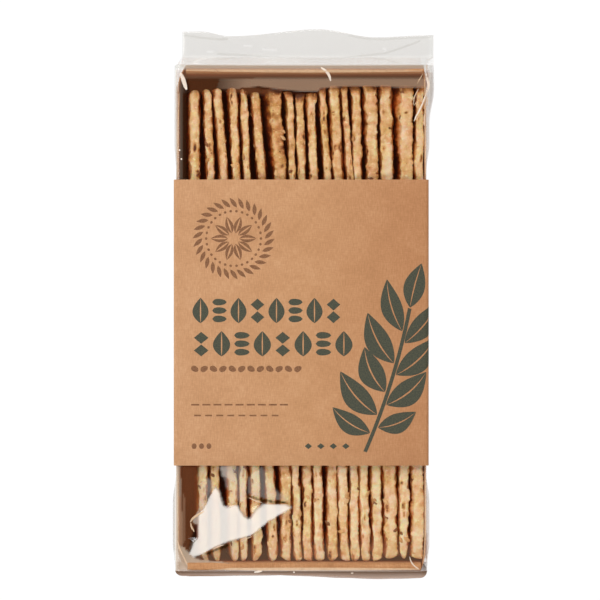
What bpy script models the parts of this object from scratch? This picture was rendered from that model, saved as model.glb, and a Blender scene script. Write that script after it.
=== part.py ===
"""A pack of sesame crackers, lying on its back: a clear film wrap round a card tray of
crackers, and a kraft card sleeve round the middle of the wrap.

Metres, +Z up. The origin is on the surface the pack lies on, below the middle of its
outline. +Y runs along the pack to the end with the film's seal flap, and +X is to the
right of someone who looks down at the front with the flap at the top.
"""
import math

import bmesh
import bpy
import numpy as np

COLLECTION = "sesame_cracker_pack"

# The card sleeve: a rectangular tube of thin board, open at both ends
SLEEVE_WIDTH = 0.0899
SLEEVE_HEIGHT = 0.0420
SLEEVE_LENGTH = 0.1007
SLEEVE_BOARD = 0.0005
SLEEVE_FOLD_RADIUS = 0.0007
SLEEVE_FOLD_STEPS = 3
SLEEVE_BELOW_TRAY_MIDDLE = 0.00185

# The tray of crackers inside the film, and the play between film and sleeve
TRAY_LENGTH = 0.1779
FILM_PLAY = 0.0003
WRAP_WIDTH = SLEEVE_WIDTH - 2 * (SLEEVE_BOARD + FILM_PLAY)
WRAP_LOW = SLEEVE_BOARD + FILM_PLAY
WRAP_HIGH = SLEEVE_HEIGHT - SLEEVE_BOARD - FILM_PLAY
WRAP_EDGE_RADIUS = 0.0012

# The slack film that stands off the tray's long sides, past each end of the sleeve
SIDE_SLACK = 0.0017
SLACK_STARTS = 0.0010
SLACK_BLEND = 0.0120
EAR_LENGTH = 0.0200

# The tucked lower end, where the folded film swells out past the tray: how far it does
# from the left end to the right one
TUCK_AT = (-0.0400, -0.0220, 0.0000, 0.0280, 0.0440)
TUCK_REACH = (0.0041, 0.0034, 0.0038, 0.0051, 0.0044)
TUCK_CORNER = 0.0034

# The seal flap at the upper end: the film slopes down from the tray's rim to a flat fin
SLOPE_RUN = 0.0045
FIN_HEIGHT = 0.0215
FIN_THICKNESS = 0.0014
FIN_RIPPLE = 0.0006
FIN_RIPPLE_LENGTH = 0.0380
FIN_LEFT = -0.0426
FIN_RIGHT = 0.0474
# how far the fin's free edge stands past the tray, from the left end to the right one
FIN_EDGE_AT = (-0.0360, -0.0256, 0.0060, 0.0265, 0.0474)
FIN_EDGE_REACH = (0.0134, 0.0117, 0.0142, 0.0114, 0.0121)

# Mesh counts of the wrap
COLUMNS = 22
SIDE_STEPS = 5
TUCK_STEPS = 5
SLACK_STEPS = 4
SLOPE_STEPS = 2
FIN_STEPS = 2

# The outline runs from the tucked end to the longest point of the fin, and the origin
# is at its middle
TRAY_MIDDLE = (max(TUCK_REACH) - max(FIN_EDGE_REACH)) / 2
TRAY_FOOT = TRAY_MIDDLE - TRAY_LENGTH / 2
TRAY_HEAD = TRAY_MIDDLE + TRAY_LENGTH / 2
SLEEVE_MIDDLE = TRAY_MIDDLE - SLEEVE_BELOW_TRAY_MIDDLE
SLEEVE_FOOT = SLEEVE_MIDDLE - SLEEVE_LENGTH / 2
SLEEVE_HEAD = SLEEVE_MIDDLE + SLEEVE_LENGTH / 2

FILM_COLOUR = (0.82, 0.80, 0.76, 1.0)
KRAFT_COLOUR = (0.56, 0.33, 0.18, 1.0)


def smooth(t):
    """The smooth step 3t^2 - 2t^3, with t held between 0 and 1."""
    t = np.clip(t, 0.0, 1.0)
    return t * t * (3.0 - 2.0 * t)


def edge_reach(x, at, reach):
    """How far an end's edge stands past the tray at x: smooth steps between its points."""
    at, reach = np.array(at), np.array(reach)
    left = np.clip(np.searchsorted(at, x) - 1, 0, len(at) - 2)
    share = smooth((x - at[left]) / (at[left + 1] - at[left]))
    return reach[left] + (reach[left + 1] - reach[left]) * share


def side_slack(y):
    """How far the film stands off the left and the right side of the tray at y.

    It is nothing under the sleeve, grows past both ends of it, and is gone again at the
    tucked end. At the flap it stays full on the right, where the film makes an ear.
    """
    below = smooth((SLEEVE_FOOT - SLACK_STARTS - y) / SLACK_BLEND)
    above = smooth((y - SLEEVE_HEAD - SLACK_STARTS) / SLACK_BLEND)
    ear = smooth((y - (TRAY_HEAD - EAR_LENGTH)) / SLACK_BLEND)
    left = SIDE_SLACK * (below + 0.6 * above)
    right = SIDE_SLACK * (0.95 * below + 0.95 * above + 0.85 * ear)
    return left, right


def edge_drop(x, half_width, radius):
    """How far the rounded long edge falls below the flat face at x, on a quarter circle."""
    past = np.clip(np.abs(x) - (half_width - radius), 0.0, radius)
    return radius - np.sqrt(radius * radius - past * past)


def wrap_section(y, middle, half_width, low, high, left, right, reach=None, tuck=None):
    """One closed ring of the wrap, as an array of points.

    The upper face runs from left to right, a side swells out by its slack on a sine from
    edge to edge, and the lower face and the other side come back. reach is the share of
    the fin that is passed, from 0 at its root to 1 at its free edge, and tuck is the same
    for the tucked end, from 0 at the tray to 1 at its edge.
    """
    radius = min(WRAP_EDGE_RADIUS, 0.45 * (high - low))
    x = half_width * np.sin(np.linspace(-math.pi / 2, math.pi / 2, COLUMNS + 1))
    drop = edge_drop(x, half_width, radius)
    share = np.linspace(0.0, 1.0, SIDE_STEPS + 1)[1:-1]
    side_z = (high - radius) + (low - high + 2 * radius) * share
    swell = np.sin(math.pi * share)
    ring_x = middle + np.concatenate([x, half_width + right * swell, x[::-1], -half_width - left * swell[::-1]])
    ring_z = np.concatenate([high - drop, side_z, (low + drop)[::-1], side_z[::-1]])
    ring_y = np.full_like(ring_x, y)
    if tuck is not None:
        ring_y = TRAY_FOOT - edge_reach(ring_x, TUCK_AT, TUCK_REACH) * tuck
    if reach is not None:
        root = TRAY_HEAD + SLOPE_RUN
        edge = TRAY_HEAD + edge_reach(ring_x, FIN_EDGE_AT, FIN_EDGE_REACH)
        ring_y = root + (edge - root) * reach
        ring_z = ring_z + FIN_RIPPLE * smooth(reach) * np.sin(2 * math.pi * ring_x / FIN_RIPPLE_LENGTH)
    return np.stack([ring_x, ring_y, ring_z], axis=1)


def wrap_rings():
    """The wrap's rings in order from the tucked end to the fin's free edge."""
    half = WRAP_WIDTH / 2
    middle = (WRAP_LOW + WRAP_HIGH) / 2
    tall = (WRAP_HIGH - WRAP_LOW) / 2
    rings = []
    # the tucked end is a quarter ellipse in side view, and its corners are rounded in plan
    for turn in np.linspace(0.92, 0.0, TUCK_STEPS):
        out, keep = math.sin(turn * math.pi / 2), math.cos(turn * math.pi / 2)
        left, right = side_slack(TRAY_FOOT)
        rings.append(wrap_section(TRAY_FOOT, 0.0, half - TUCK_CORNER * (1 - keep),
                                  middle - tall * keep, middle + tall * keep,
                                  left * keep, right * keep, tuck=out / math.sin(0.92 * math.pi / 2)))
    # the straight run along the tray, with more rings where the slack grows
    stations = np.concatenate([
        [TRAY_FOOT + 0.010],
        np.linspace(SLEEVE_FOOT - SLACK_STARTS - SLACK_BLEND, SLEEVE_FOOT - SLACK_STARTS, SLACK_STEPS),
        [SLEEVE_MIDDLE],
        np.linspace(SLEEVE_HEAD + SLACK_STARTS, SLEEVE_HEAD + SLACK_STARTS + SLACK_BLEND, SLACK_STEPS),
        np.linspace(TRAY_HEAD - EAR_LENGTH, TRAY_HEAD, SLACK_STEPS)])
    for y in stations:
        left, right = side_slack(y)
        rings.append(wrap_section(y, 0.0, half, WRAP_LOW, WRAP_HIGH, left, right))
    # the slope from the rim to the fin, and the fin
    fin_low = FIN_HEIGHT - FIN_THICKNESS / 2
    fin_high = FIN_HEIGHT + FIN_THICKNESS / 2
    fin_middle = (FIN_LEFT + FIN_RIGHT) / 2
    fin_half = (FIN_RIGHT - FIN_LEFT) / 2
    full_left, full_right = side_slack(TRAY_HEAD)
    for share in np.linspace(0.0, 1.0, SLOPE_STEPS + 1)[1:-1]:
        width = half + (fin_half - half) * share
        rings.append(wrap_section(TRAY_HEAD + SLOPE_RUN * share, fin_middle * share, width,
                                  WRAP_LOW + (fin_low - WRAP_LOW) * share,
                                  WRAP_HIGH + (fin_high - WRAP_HIGH) * share,
                                  full_left * (1 - share), full_right * (1 - share)))
    for reach in np.linspace(0.0, 1.0, FIN_STEPS + 1):
        rings.append(wrap_section(0.0, fin_middle, fin_half, fin_low, fin_high, 0.0, 0.0, reach))
    return rings


def end_faces(first, flip):
    """The faces that close one ring: strips between its upper and lower row, and at each
    side one face that takes in the side's points."""
    side = SIDE_STEPS - 1
    upper = [first + i for i in range(COLUMNS + 1)]
    right = [first + COLUMNS + 1 + i for i in range(side)]
    lower = [first + COLUMNS + 1 + side + i for i in range(COLUMNS + 1)][::-1]
    left = [first + 2 * (COLUMNS + 1) + side + i for i in range(side)]
    faces = [(upper[1], upper[0], *left[::-1], lower[0], lower[1])]
    for i in range(1, COLUMNS - 1):
        faces.append((upper[i + 1], upper[i], lower[i], lower[i + 1]))
    faces.append((upper[-1], upper[-2], lower[-2], lower[-1], *right[::-1]))
    return [face[::-1] for face in faces] if flip else faces


def build_wrap():
    """The closed solid of the film wrap with its contents, lofted through its rings."""
    rings = wrap_rings()
    around = len(rings[0])
    faces = []
    for ring in range(len(rings) - 1):
        low, high = ring * around, (ring + 1) * around
        for i in range(around):
            j = (i + 1) % around
            faces.append((low + i, low + j, high + j, high + i))
    faces += end_faces(0, flip=False)
    faces += end_faces((len(rings) - 1) * around, flip=True)
    mesh = bpy.data.meshes.new("clear_wrap")
    mesh.from_pydata(np.concatenate(rings).tolist(), [], faces)
    shape = bmesh.new()
    shape.from_mesh(mesh)
    bmesh.ops.recalc_face_normals(shape, faces=shape.faces)
    shape.to_mesh(mesh)
    shape.free()
    mesh.shade_smooth()
    mesh.set_sharp_from_angle(angle=math.radians(35))
    return bpy.data.objects.new("clear_wrap", mesh)


def build_sleeve():
    """The sleeve: a box of its inner size with open ends, folded edges and a board's thickness."""
    mesh = bpy.data.meshes.new("card_sleeve")
    shape = bmesh.new()
    bmesh.ops.create_cube(shape, size=1.0)
    bmesh.ops.scale(shape, verts=shape.verts, vec=(
        SLEEVE_WIDTH - 2 * SLEEVE_BOARD, SLEEVE_LENGTH, SLEEVE_HEIGHT - 2 * SLEEVE_BOARD))
    ends = [face for face in shape.faces if abs(face.normal.y) > 0.5]
    bmesh.ops.delete(shape, geom=ends, context="FACES_ONLY")
    shape.to_mesh(mesh)
    shape.free()
    sleeve = bpy.data.objects.new("card_sleeve", mesh)
    sleeve.location = (0.0, SLEEVE_MIDDLE, SLEEVE_HEIGHT / 2)
    folds = sleeve.modifiers.new("folds", "BEVEL")
    folds.width = SLEEVE_FOLD_RADIUS
    folds.segments = SLEEVE_FOLD_STEPS
    folds.limit_method = "ANGLE"
    board = sleeve.modifiers.new("board", "SOLIDIFY")
    board.thickness = SLEEVE_BOARD
    board.offset = 1.0
    board.use_even_offset = True
    return sleeve


def plain_material(name, colour, roughness):
    """A Principled material of one colour and roughness."""
    material = bpy.data.materials.new(name)
    material.use_nodes = True
    surface = material.node_tree.nodes["Principled BSDF"]
    surface.inputs["Base Color"].default_value = colour
    surface.inputs["Roughness"].default_value = roughness
    return material


for old in list(bpy.context.scene.objects):
    bpy.data.objects.remove(old)
parts = bpy.data.collections.new(COLLECTION)
bpy.context.scene.collection.children.link(parts)

wrap = build_wrap()
wrap.data.materials.append(plain_material("clear_film", FILM_COLOUR, 0.12))
parts.objects.link(wrap)

# the ear and the flap reach further out on the right, so the tray lies left of the origin
across = [corner[0] for corner in wrap.bound_box]
wrap.location.x = -(min(across) + max(across)) / 2

sleeve = build_sleeve()
sleeve.location.x = wrap.location.x
sleeve.data.materials.append(plain_material("kraft_board", KRAFT_COLOUR, 0.85))
parts.objects.link(sleeve)
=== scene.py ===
"""Looks of a pack of sesame crackers that lies on its back, seen from straight above.

Metres, +Z up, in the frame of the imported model: +Y runs to the end with the film's seal
flap, and the origin is on the surface that the pack lies on.
"""
import math
from functools import partial

import bpy
import numpy as np
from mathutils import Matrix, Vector
from mathutils.geometry import delaunay_2d_cdt


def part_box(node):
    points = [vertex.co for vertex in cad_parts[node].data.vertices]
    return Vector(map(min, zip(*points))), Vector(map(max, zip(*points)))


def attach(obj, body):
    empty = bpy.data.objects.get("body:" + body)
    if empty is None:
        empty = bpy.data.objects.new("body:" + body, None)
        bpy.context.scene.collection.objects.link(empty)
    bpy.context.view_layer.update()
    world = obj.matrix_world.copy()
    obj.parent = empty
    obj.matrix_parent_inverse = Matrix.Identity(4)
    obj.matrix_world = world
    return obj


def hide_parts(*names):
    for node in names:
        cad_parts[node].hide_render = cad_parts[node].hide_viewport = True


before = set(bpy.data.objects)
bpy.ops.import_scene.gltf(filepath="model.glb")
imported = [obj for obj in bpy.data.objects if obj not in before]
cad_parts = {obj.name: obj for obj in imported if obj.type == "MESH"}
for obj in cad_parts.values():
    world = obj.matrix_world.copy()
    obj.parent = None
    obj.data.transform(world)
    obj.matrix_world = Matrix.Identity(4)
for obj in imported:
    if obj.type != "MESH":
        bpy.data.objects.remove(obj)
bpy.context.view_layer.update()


# Card tray
# One blank of kraft board folded up into a shallow open tray. The long walls are a single
# thickness of board, and each end wall is rolled over hollow, with a flat top.

MM = 0.001
SLEEVE_BELOW_TRAY_MIDDLE = 1.85 * MM
card_low, card_high = (np.array(corner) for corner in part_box("card_sleeve"))
# all places below are measured from the middle of the tray, at the height of the table
TRAY_MIDDLE = (card_low + card_high) / 2 * (1, 1, 0) + (0, SLEEVE_BELOW_TRAY_MIDDLE, 0)
wrap_low, wrap_high = (np.array(corner) - TRAY_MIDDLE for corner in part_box("clear_wrap"))
sleeve_low, sleeve_high = card_low - TRAY_MIDDLE, card_high - TRAY_MIDDLE
tray_foot, tray_head = -89.35 * MM, 88.95 * MM
TRAY_LENGTH = tray_head - tray_foot
TRAY_LEFT = -43.65 * MM
TRAY_RIGHT = 44.0 * MM
TRAY_FLOOR = wrap_low[2] + 0.15 * MM
TRAY_RIM = wrap_high[2] - 0.2 * MM
BOARD = 0.5 * MM
FOOT_ROLL, HEAD_ROLL = 2.9 * MM, 2.95 * MM
ROLL_EDGE = 1.0 * MM
ROLL_BOW = 0.15 * MM
WALL_DROP = 1.6 * MM
# how far the left and the right wall close in at the foot, and at the head
CORNER_IN = ((3.6 * MM, 1.8 * MM), (3.0 * MM, 0.9 * MM))
CORNER_RUN = 8.5 * MM
CORNER_RINGS, ROLL_RINGS = 7, 13
# how far the board's cut edges are rounded, and the rolls stand above the walls' full height
FLOOR_ROUNDING, WALL_ROUNDING = 0.4 * BOARD, 0.45 * BOARD
ROLL_RISE = 0.1 * MM


def mesh_piece(name, points, faces, material, smooth_angle=40, **attributes):
    """A mesh object from an array of points, measured from the tray's middle, and a list
    of faces, shaded smooth up to an angle. Each attribute keeps one number a vertex, under
    a name that the material reads."""
    mesh = bpy.data.meshes.new(name)
    points = np.asarray(points, float).reshape(-1, 3) + TRAY_MIDDLE
    mesh.from_pydata(points.tolist(), [], faces)
    mesh.update()
    mesh.shade_smooth()
    mesh.set_sharp_from_angle(angle=math.radians(smooth_angle))
    for key, values in attributes.items():
        mesh.attributes.new(key, "FLOAT", "POINT").data.foreach_set("value", np.asarray(values, np.float32).ravel())
    mesh.materials.append(material)
    piece = bpy.data.objects.new(name, mesh)
    bpy.context.scene.collection.objects.link(piece)
    return piece


def grid_faces(rows, columns, close_rows=False):
    """The quads of a grid of points that closes on itself along its columns, and along
    its rows too where asked. Point (row, column) has the number row * columns + column."""
    row = np.arange(rows if close_rows else rows - 1)[:, None]
    column = np.arange(columns)[None, :]
    here, there = row * columns, ((row + 1) % rows) * columns
    across = (column + 1) % columns
    quads = np.stack([here + column, here + across, there + across, there + column], axis=-1)
    return quads.reshape(-1, 4).tolist()


def tube_faces(rings, around):
    """The quads of a tube of rings, and a face over each of its ends."""
    last = (rings - 1) * around
    return grid_faces(rings, around) + [list(range(around))[::-1], [last + i for i in range(around)]]


def swept_bar(outline, stations):
    """A bar whose closed outline, an array of widths and heights, is carried along a row of
    stations and shut at both ends. A station is an origin, a width direction and a height
    direction, and a point is origin + width * width direction + height * height direction."""
    rings = [np.asarray(o) + outline[:, :1] * np.asarray(w) + outline[:, 1:] * np.asarray(h)
             for o, w, h in stations]
    return np.concatenate(rings), tube_faces(len(rings), len(outline))


def rounded_outline(width, height, radius, steps=4):
    """A rectangle from (0, 0) to (width, height) with quarter circles at its corners,
    anticlockwise from the lower right one."""
    turn = np.linspace(0, math.pi / 2, steps + 1)
    centres = ((width - radius, radius, -0.5), (width - radius, height - radius, 0.0),
               (radius, height - radius, 0.5), (radius, radius, 1.0))
    corners = [np.stack([cx + radius * np.cos(turn + start * math.pi),
                         cy + radius * np.sin(turn + start * math.pi)], axis=1)
               for cx, cy, start in centres]
    return np.concatenate(corners)


def joined(parts):
    """Several (points, faces) shells as one, with their faces renumbered."""
    points, faces, first = [], [], 0
    for part_points, part_faces in parts:
        points.append(np.asarray(part_points).reshape(-1, 3))
        faces += [[first + i for i in face] for face in part_faces]
        first += len(points[-1])
    return np.concatenate(points), faces


def linear(hex_colour):
    """An sRGB hex colour as linear red, green, blue and alpha 1."""
    parts = [int(hex_colour[i:i + 2], 16) / 255 for i in (1, 3, 5)]
    return tuple(c / 12.92 if c <= 0.04045 else ((c + 0.055) / 1.055) ** 2.4 for c in parts) + (1.0,)


def add_node(tree, kind, inputs=None, output=0, stops=(), **settings):
    """Adds one node with its own settings. An input, by name or number, takes a value or
    the output that feeds it, and stops are a colour ramp's positions and sRGB hex colours.
    Returns the output asked for, by name or number."""
    node = tree.nodes.new("ShaderNode" + kind)
    for key, value in settings.items():
        setattr(node, key, value)
    for key, value in (inputs or {}).items():
        if isinstance(value, bpy.types.NodeSocket):
            tree.links.new(value, node.inputs[key])
        else:
            node.inputs[key].default_value = value
    for _ in stops[2:]:
        node.color_ramp.elements.new(0.5)
    for i, (position, colour) in enumerate(stops):
        node.color_ramp.elements[i].position = position
        node.color_ramp.elements[i].color = linear(colour)
    return node.outputs[output] if node.outputs else None


def new_material(name):
    """A material without nodes, and add_node for its tree."""
    material = bpy.data.materials.new(name)
    material.use_nodes = True
    material.node_tree.nodes.clear()
    return material, partial(add_node, material.node_tree)


MULTIPLY = {"data_type": "RGBA", "blend_type": "MULTIPLY"}
# fibres along the web and stray ones across it, by their size along X, Y and Z and how far
# they are turned, and what else shows in the board
FIBRES = (((0.35 * MM, 2.2 * MM, 0.35 * MM), 0.0), ((2.2 * MM, 0.35 * MM, 0.35 * MM), 0.35))
MOTTLE = 9.0 * MM
TOOTH = 0.25 * MM


def kraft_board(name, dark, middle, light, roughness, axis, start, end, painted_shade_tints):
    """Unbleached kraft board, calendered on a paper machine: long pulp fibres lie along
    the web, so the brown is streaked with fine darker and lighter hairs, clouded at about
    a centimetre, and has a faint tooth that keeps it matt. A painted shade darkens it through
    a ramp of colours along an axis, from start to end, and the attribute past moves a point along it."""
    material, add = new_material(name)
    place = add("TexCoord", output="Object")
    streaks = [add("Mapping", {"Vector": place, "Rotation": (0, 0, turn), "Scale": [1 / length for length in size]})
               for size, turn in FIBRES]
    fibres, strays = (add("TexNoise", {"Vector": streak, "Scale": 1.0, "Detail": 3.0, "Roughness": 0.6})
                      for streak in streaks)
    clouds = add("TexNoise", {"Vector": place, "Scale": 1 / MOTTLE, "Detail": 4.0, "Roughness": 0.6})
    level = fibres
    for part in (strays, clouds):
        level = add("Math", {0: part, 1: 0.6, 2: level}, operation="MULTIPLY_ADD")
    level = add("MapRange", {"Value": level, "From Min": 0.7, "From Max": 1.5})
    brown = add("ValToRGB", {"Fac": level}, stops=((0.0, dark), (0.5, middle), (1.0, light)))
    # painted shade: the colour is multiplied by a ramp that darkens it along one axis
    past = add("Attribute", output="Fac", attribute_name="past")
    along = add("Math", {0: add("SeparateXYZ", {0: place}, axis), 1: past}, operation="ADD")
    along = add("MapRange", {"Value": along, "From Min": start, "From Max": end})
    tint = add("ValToRGB", {"Fac": along}, stops=painted_shade_tints)
    colour = add("Mix", {"Factor": 1.0, "A": brown, "B": tint}, "Result", **MULTIPLY)
    tooth = add("TexNoise", {"Vector": place, "Scale": 1 / TOOTH, "Detail": 3.0, "Roughness": 0.6})
    height = add("Math", {0: tooth, 1: fibres}, operation="ADD")
    bump = add("Bump", {"Height": height, "Strength": 0.25, "Distance": 0.03 * MM})
    board = add("BsdfPrincipled", {"Base Color": colour, "Normal": bump, "Roughness": roughness, "IOR": 1.45})
    add("OutputMaterial", {"Surface": board})
    return material


# painted shade: low inside the tray the board is darkened and reddened, where light only comes by way of board and
# crackers
tray_board = kraft_board("kraft board of tray", "#AE7D53", "#C59163", "#D8AA7F", 0.78,
                         "Z", TRAY_RIM - 7 * MM, TRAY_RIM - 0.8 * MM, ((0.0, "#E0935E"), (1.0, "#FFFFFF")))


def walls_at(along):
    """The outer faces' places of the left and the right wall, at distances from the foot.
    Towards a corner each wall closes in by CORNER_IN * (1 - distance / run)^2."""
    ends = [(1 - np.clip(far / CORNER_RUN, 0, 1)) ** 2 for far in (along, TRAY_LENGTH - along)]
    (foot_left, foot_right), (head_left, head_right) = CORNER_IN
    return (TRAY_LEFT + foot_left * ends[0] + head_left * ends[1],
            TRAY_RIGHT - foot_right * ends[0] - head_right * ends[1])


def tray_shells():
    """The tray's shells: a floor, two long walls and two rolled end walls, each with
    whether its points face inward. An end wall bows inward by a half sine."""
    height = TRAY_RIM - TRAY_FLOOR
    along = np.concatenate([np.linspace(0, CORNER_RUN, CORNER_RINGS), [TRAY_LENGTH / 2]])
    along = np.concatenate([along, (TRAY_LENGTH - along[:-1])[::-1]])
    left, right = walls_at(along)
    shells, inward = [], []

    def add_shell(outline, faces_in, stations):
        """One board, with whether each point of its outline faces into the tray."""
        shells.append(swept_bar(outline, stations))
        inward.append(np.tile(faces_in, len(stations)))

    floor = rounded_outline(1.0, BOARD, FLOOR_ROUNDING, 2)
    add_shell(floor, floor[:, 1] > BOARD / 2,
              [((r - BOARD, tray_foot + y, TRAY_FLOOR), (l - r + 2 * BOARD, 0, 0), (0, 0, 1))
               for y, l, r in zip(along[1:-1], left[1:-1], right[1:-1])])
    wall = rounded_outline(BOARD, height - WALL_DROP, WALL_ROUNDING)
    for edge, faces_in in ((left, wall[:, 0] > BOARD / 2), (right - BOARD, wall[:, 0] < BOARD / 2)):
        add_shell(wall, faces_in, [((x, tray_foot + y, TRAY_FLOOR), (1, 0, 0), (0, 0, 1))
                                   for y, x in zip(along[::-1], edge[::-1])])
    share = np.linspace(0, 1, ROLL_RINGS)
    for end, (y, side, thick) in zip((0, -1), ((tray_foot, 1, FOOT_ROLL), (tray_head - HEAD_ROLL, -1, HEAD_ROLL))):
        roll = rounded_outline(thick, height + ROLL_RISE, ROLL_EDGE)
        bow = side * ROLL_BOW * np.sin(math.pi * share)
        across = left[end] + (right[end] - left[end]) * share
        add_shell(roll, (roll[:, 0] - thick / 2) * side > 0,
                  [((x, y + b, TRAY_FLOOR), (0, 1, 0), (0, 0, 1)) for x, b in zip(across, bow)])
    return shells, np.concatenate(inward)


shells, inward = tray_shells()
# only the inner faces get the painted shade: past moves the outer faces beyond its end
card_tray = mesh_piece("card_tray", *joined(shells), tray_board, past=np.where(inward, 0.0, TRAY_RIM))
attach(card_tray, "root")
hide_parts("clear_wrap")


# Crackers
# Eighteen thin sheets of oiled dough, docked and baked until they blister, cut into
# strips and stood on edge in the tray. No two are equally thick, straight or brown.

# the middle of each one and its thickness, in mm, near the flap end and near the foot
HEAD_X = (-37.54, -32.34, -28.34, -23.34, -19.54, -14.74, -8.34, -3.64, -0.04, 4.16,
          8.46, 12.36, 16.36, 19.86, 24.86, 30.16, 37.06, 42.0)
FOOT_X = (-34.34, -30.24, -23.94, -20.34, -15.84, -10.44, -5.34, -1.54, 2.26, 6.56,
          10.9, 15.16, 18.86, 22.46, 26.76, 31.66, 36.46, 41.16)
HEAD_THICK = (3.0, 2.4, 2.5, 2.5, 2.1, 2.7, 3.9, 2.1, 2.5, 2.5, 2.1, 3.0, 2.0, 2.6, 3.6, 3.6, 4.3, 2.5)
FOOT_THICK = (2.7, 2.5, 2.8, 2.3, 2.7, 2.8, 3.0, 2.4, 2.7, 2.7, 3.0, 2.7, 2.7, 2.7, 3.0, 3.9, 2.7, 3.8)
HEAD_Y = 64.1
FOOT_Y = -69.9
CRACKER_TOP = TRAY_RIM - 2.6 * MM
CRACKER_HEIGHT = 35.0 * MM
CRACKER_FOOT = tray_foot + FOOT_ROLL + 0.04 * MM
# where they end at the head, in mm; after the first six they were baked darker there, and
# stand so close that they touch
HEAD_ENDS = (80.3, 80.6, 80.9, 81.1, 80.6, 79.6, 81.3, 79.8, 79.3, 79.4, 81.5, 82.0, 82.2, 81.8, 82.1,
             82.3, 82.1, 81.9)
LOOSE_ENDS = 6
# how far back from each end a cracker tapers, in mm
FOOT_TAPER = (3.5, 3.0, 4.0, 2.5, 3.0, 2.5, 1.6, 1.2, 1.0, 1.2, 2.0, 1.0, 1.4, 1.2, 1.2, 1.5, 2.5, 1.0)
HEAD_TAPER = (1.5, 2.2, 1.2, 1.2, 1.6, 2.2, 3.0, 1.5, 2.0, 2.0, 1.5, 2.5, 2.0, 2.0, 1.5, 1.8, 2.0, 2.5)
# how far askew each one stands near the flap end: left at its end, right at the sleeve, in
# mm over SKEW_REACH mm, and where that starts
HEAD_SKEW = (-0.25, 0.25, 0.45, 0.3, 0.25, 0.75, 0.6, 0.6, 0.4, 0.0, 0.6, 0.45, 0.6, 0.15, 0.0, 0.15, 0.0, 0.0)
SKEW_REACH = 14.1
SKEW_STARTS, SKEW_BLEND = 20 * MM, 25 * MM
# the least room between a cracker and the right wall
WALL_GAP = 0.12 * MM
# the last three stand back at the foot, and each one a little, by up to so many mm
SET_BACK, SET_BACK_FROM = 0.9 * MM, 15
FOOT_PLAY = 0.16
# the share of its thickness that a cracker loses at the foot, and at the head when it is
# loose or touches others; its rounded tips; and by what share its ends slant
FOOT_NARROW, HEAD_NARROW = 0.55, (0.34, 0.1)
TIP_LENGTH, TIP_LEAST = 0.4 * MM, 0.15
FOOT_SLANT, HEAD_SLANT = 0.45, 0.3
# those that touch at the head are swollen and worn down there
ENDING = 4 * MM
END_SWELL, END_DROP = 0.6 * MM, 0.8 * MM
DOCKING, DOCK_DEPTH = 11.5 * MM, 0.09 * MM
# random waves: how high and how long, in mm. A face's are a share of half the thickness,
# and the browning's are in shades; both also have how far they shift from side to side
SHEET_WAVES = ((0.30, 75), (0.16, 15))
FACE_WAVES = ((0.13, 9, 40), (0.09, 3.4, 30), (0.10, 1.4, 20))
TOP_WAVES = ((0.30, 30), (0.16, 4))
CRUMB_WAVES = ((0.10, 2.6), (0.07, 1.2))
CRUMB_WIDE = 1.5
BROWN_WAVES = ((0.15, 16, 5), (0.13, 3.2, 3))
# how much lower or higher a cracker is cut, in mm, and how far its top corners drop
TOP_PLAY = (-0.5, 0.4)
CORNER_DROP = 0.5 * MM
# how far apart a cracker's rings are where it shows and under the sleeve, how far in that
# starts, and where its end rings are
SHOWN_STEP, HIDDEN_STEP, UNDER_SLEEVE = 0.36 * MM, 3.0 * MM, 2 * MM
END_RINGS, RINGS_FROM_END = np.array((0.0, 0.05, 0.16, 0.4)) * MM, 0.8 * MM
TOP_POINTS = 13
SIDE_POINTS = 15
TOP_ROUNDING = 0.6 * MM
# the faces swell below the cut edge, by this share of the thickness over this depth
FLARE = 0.34
FLARE_DEPTH = 4.0 * MM
# blisters, with their radius in mm and their height
BLISTERS, BLISTER_RADIUS = 60, (0.9, 2.6)
BLISTER_RISE, BLISTER_HEIGHT = (0.3, 1.0), 0.45 * MM
# browned spots, some of them rings: their half length in mm, half width as a share of the
# cracker's, radius of the ring, blur, depth and how brown
SPOTS, SPOT_LENGTH, SPOT_WIDTH = 18, (0.6, 1.9), (0.16, 0.36)
SPOT_RING, SPOT_BLUR, SPOT_DEPTH, SPOT_BROWN = 0.8, 0.45, 1.5 * MM, (0.5, 1.15)
# they lean, with their tops to the right, by this many degrees in the middle of the tray
LEAN, LEAN_PLAY = 3.2, 1.2
LEAN_EACH_MM = -0.045
# these are bent over at the top, by this much, so that their left faces show
BENT = {6: 1.5 * MM, 9: 0.7 * MM, 14: 0.6 * MM, 16: 1.3 * MM}
BEND_RUN, BEND_DEPTH = 30 * MM, 6 * MM
# the wide seventh and seventeenth were baked browner
BROWNER = {6: 0.16, 16: 0.06}
# how much browner blisters, spots, the top's edges, the faces, the bent ones' faces and the
# ends are, how much paler faces and tops are painted towards the foot as painted light, and how far each one strays
BLISTER_BROWN, SPOTS_BROWN, EDGE_BROWN, FLANK_BROWN, BENT_BROWN = 0.12, 0.90, 0.14, 0.32, 0.20
HEAD_END_BROWN, FOOT_END_BROWN, FOOT_END = (0.12, 0.66), 0.04, 2 * MM
PAINTED_LIGHT_FLANK, PAINTED_LIGHT_TOP, PAINTED_LIGHT_RUN = 0.28, 0.13, 60 * MM
BROWN_PLAY = (-0.10, 0.08)
FIRST_DRAW = 4100
# how much more or less brown each one came out near the flap end and near the foot
HEAD_BAKE = (0.03, -0.08, -0.06, 0.1, 0.0, 0.07, 0.03, 0.1, 0.18, 0.06, 0.12, -0.07, 0.12, 0.04, 0.1,
             -0.09, -0.04, -0.14)
FOOT_BAKE = (0.0, -0.04, -0.14, -0.15, -0.07, -0.16, -0.16, 0.0, 0.11, -0.1, 0.1, -0.11, -0.04, -0.06, 0.05,
             0.0, -0.11, -0.05)


def smooth_step(t):
    """3t^2 - 2t^3, with t held between 0 and 1."""
    t = np.clip(t, 0.0, 1.0)
    return t * t * (3.0 - 2.0 * t)


RIPPLE_WAVES = 10


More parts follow.
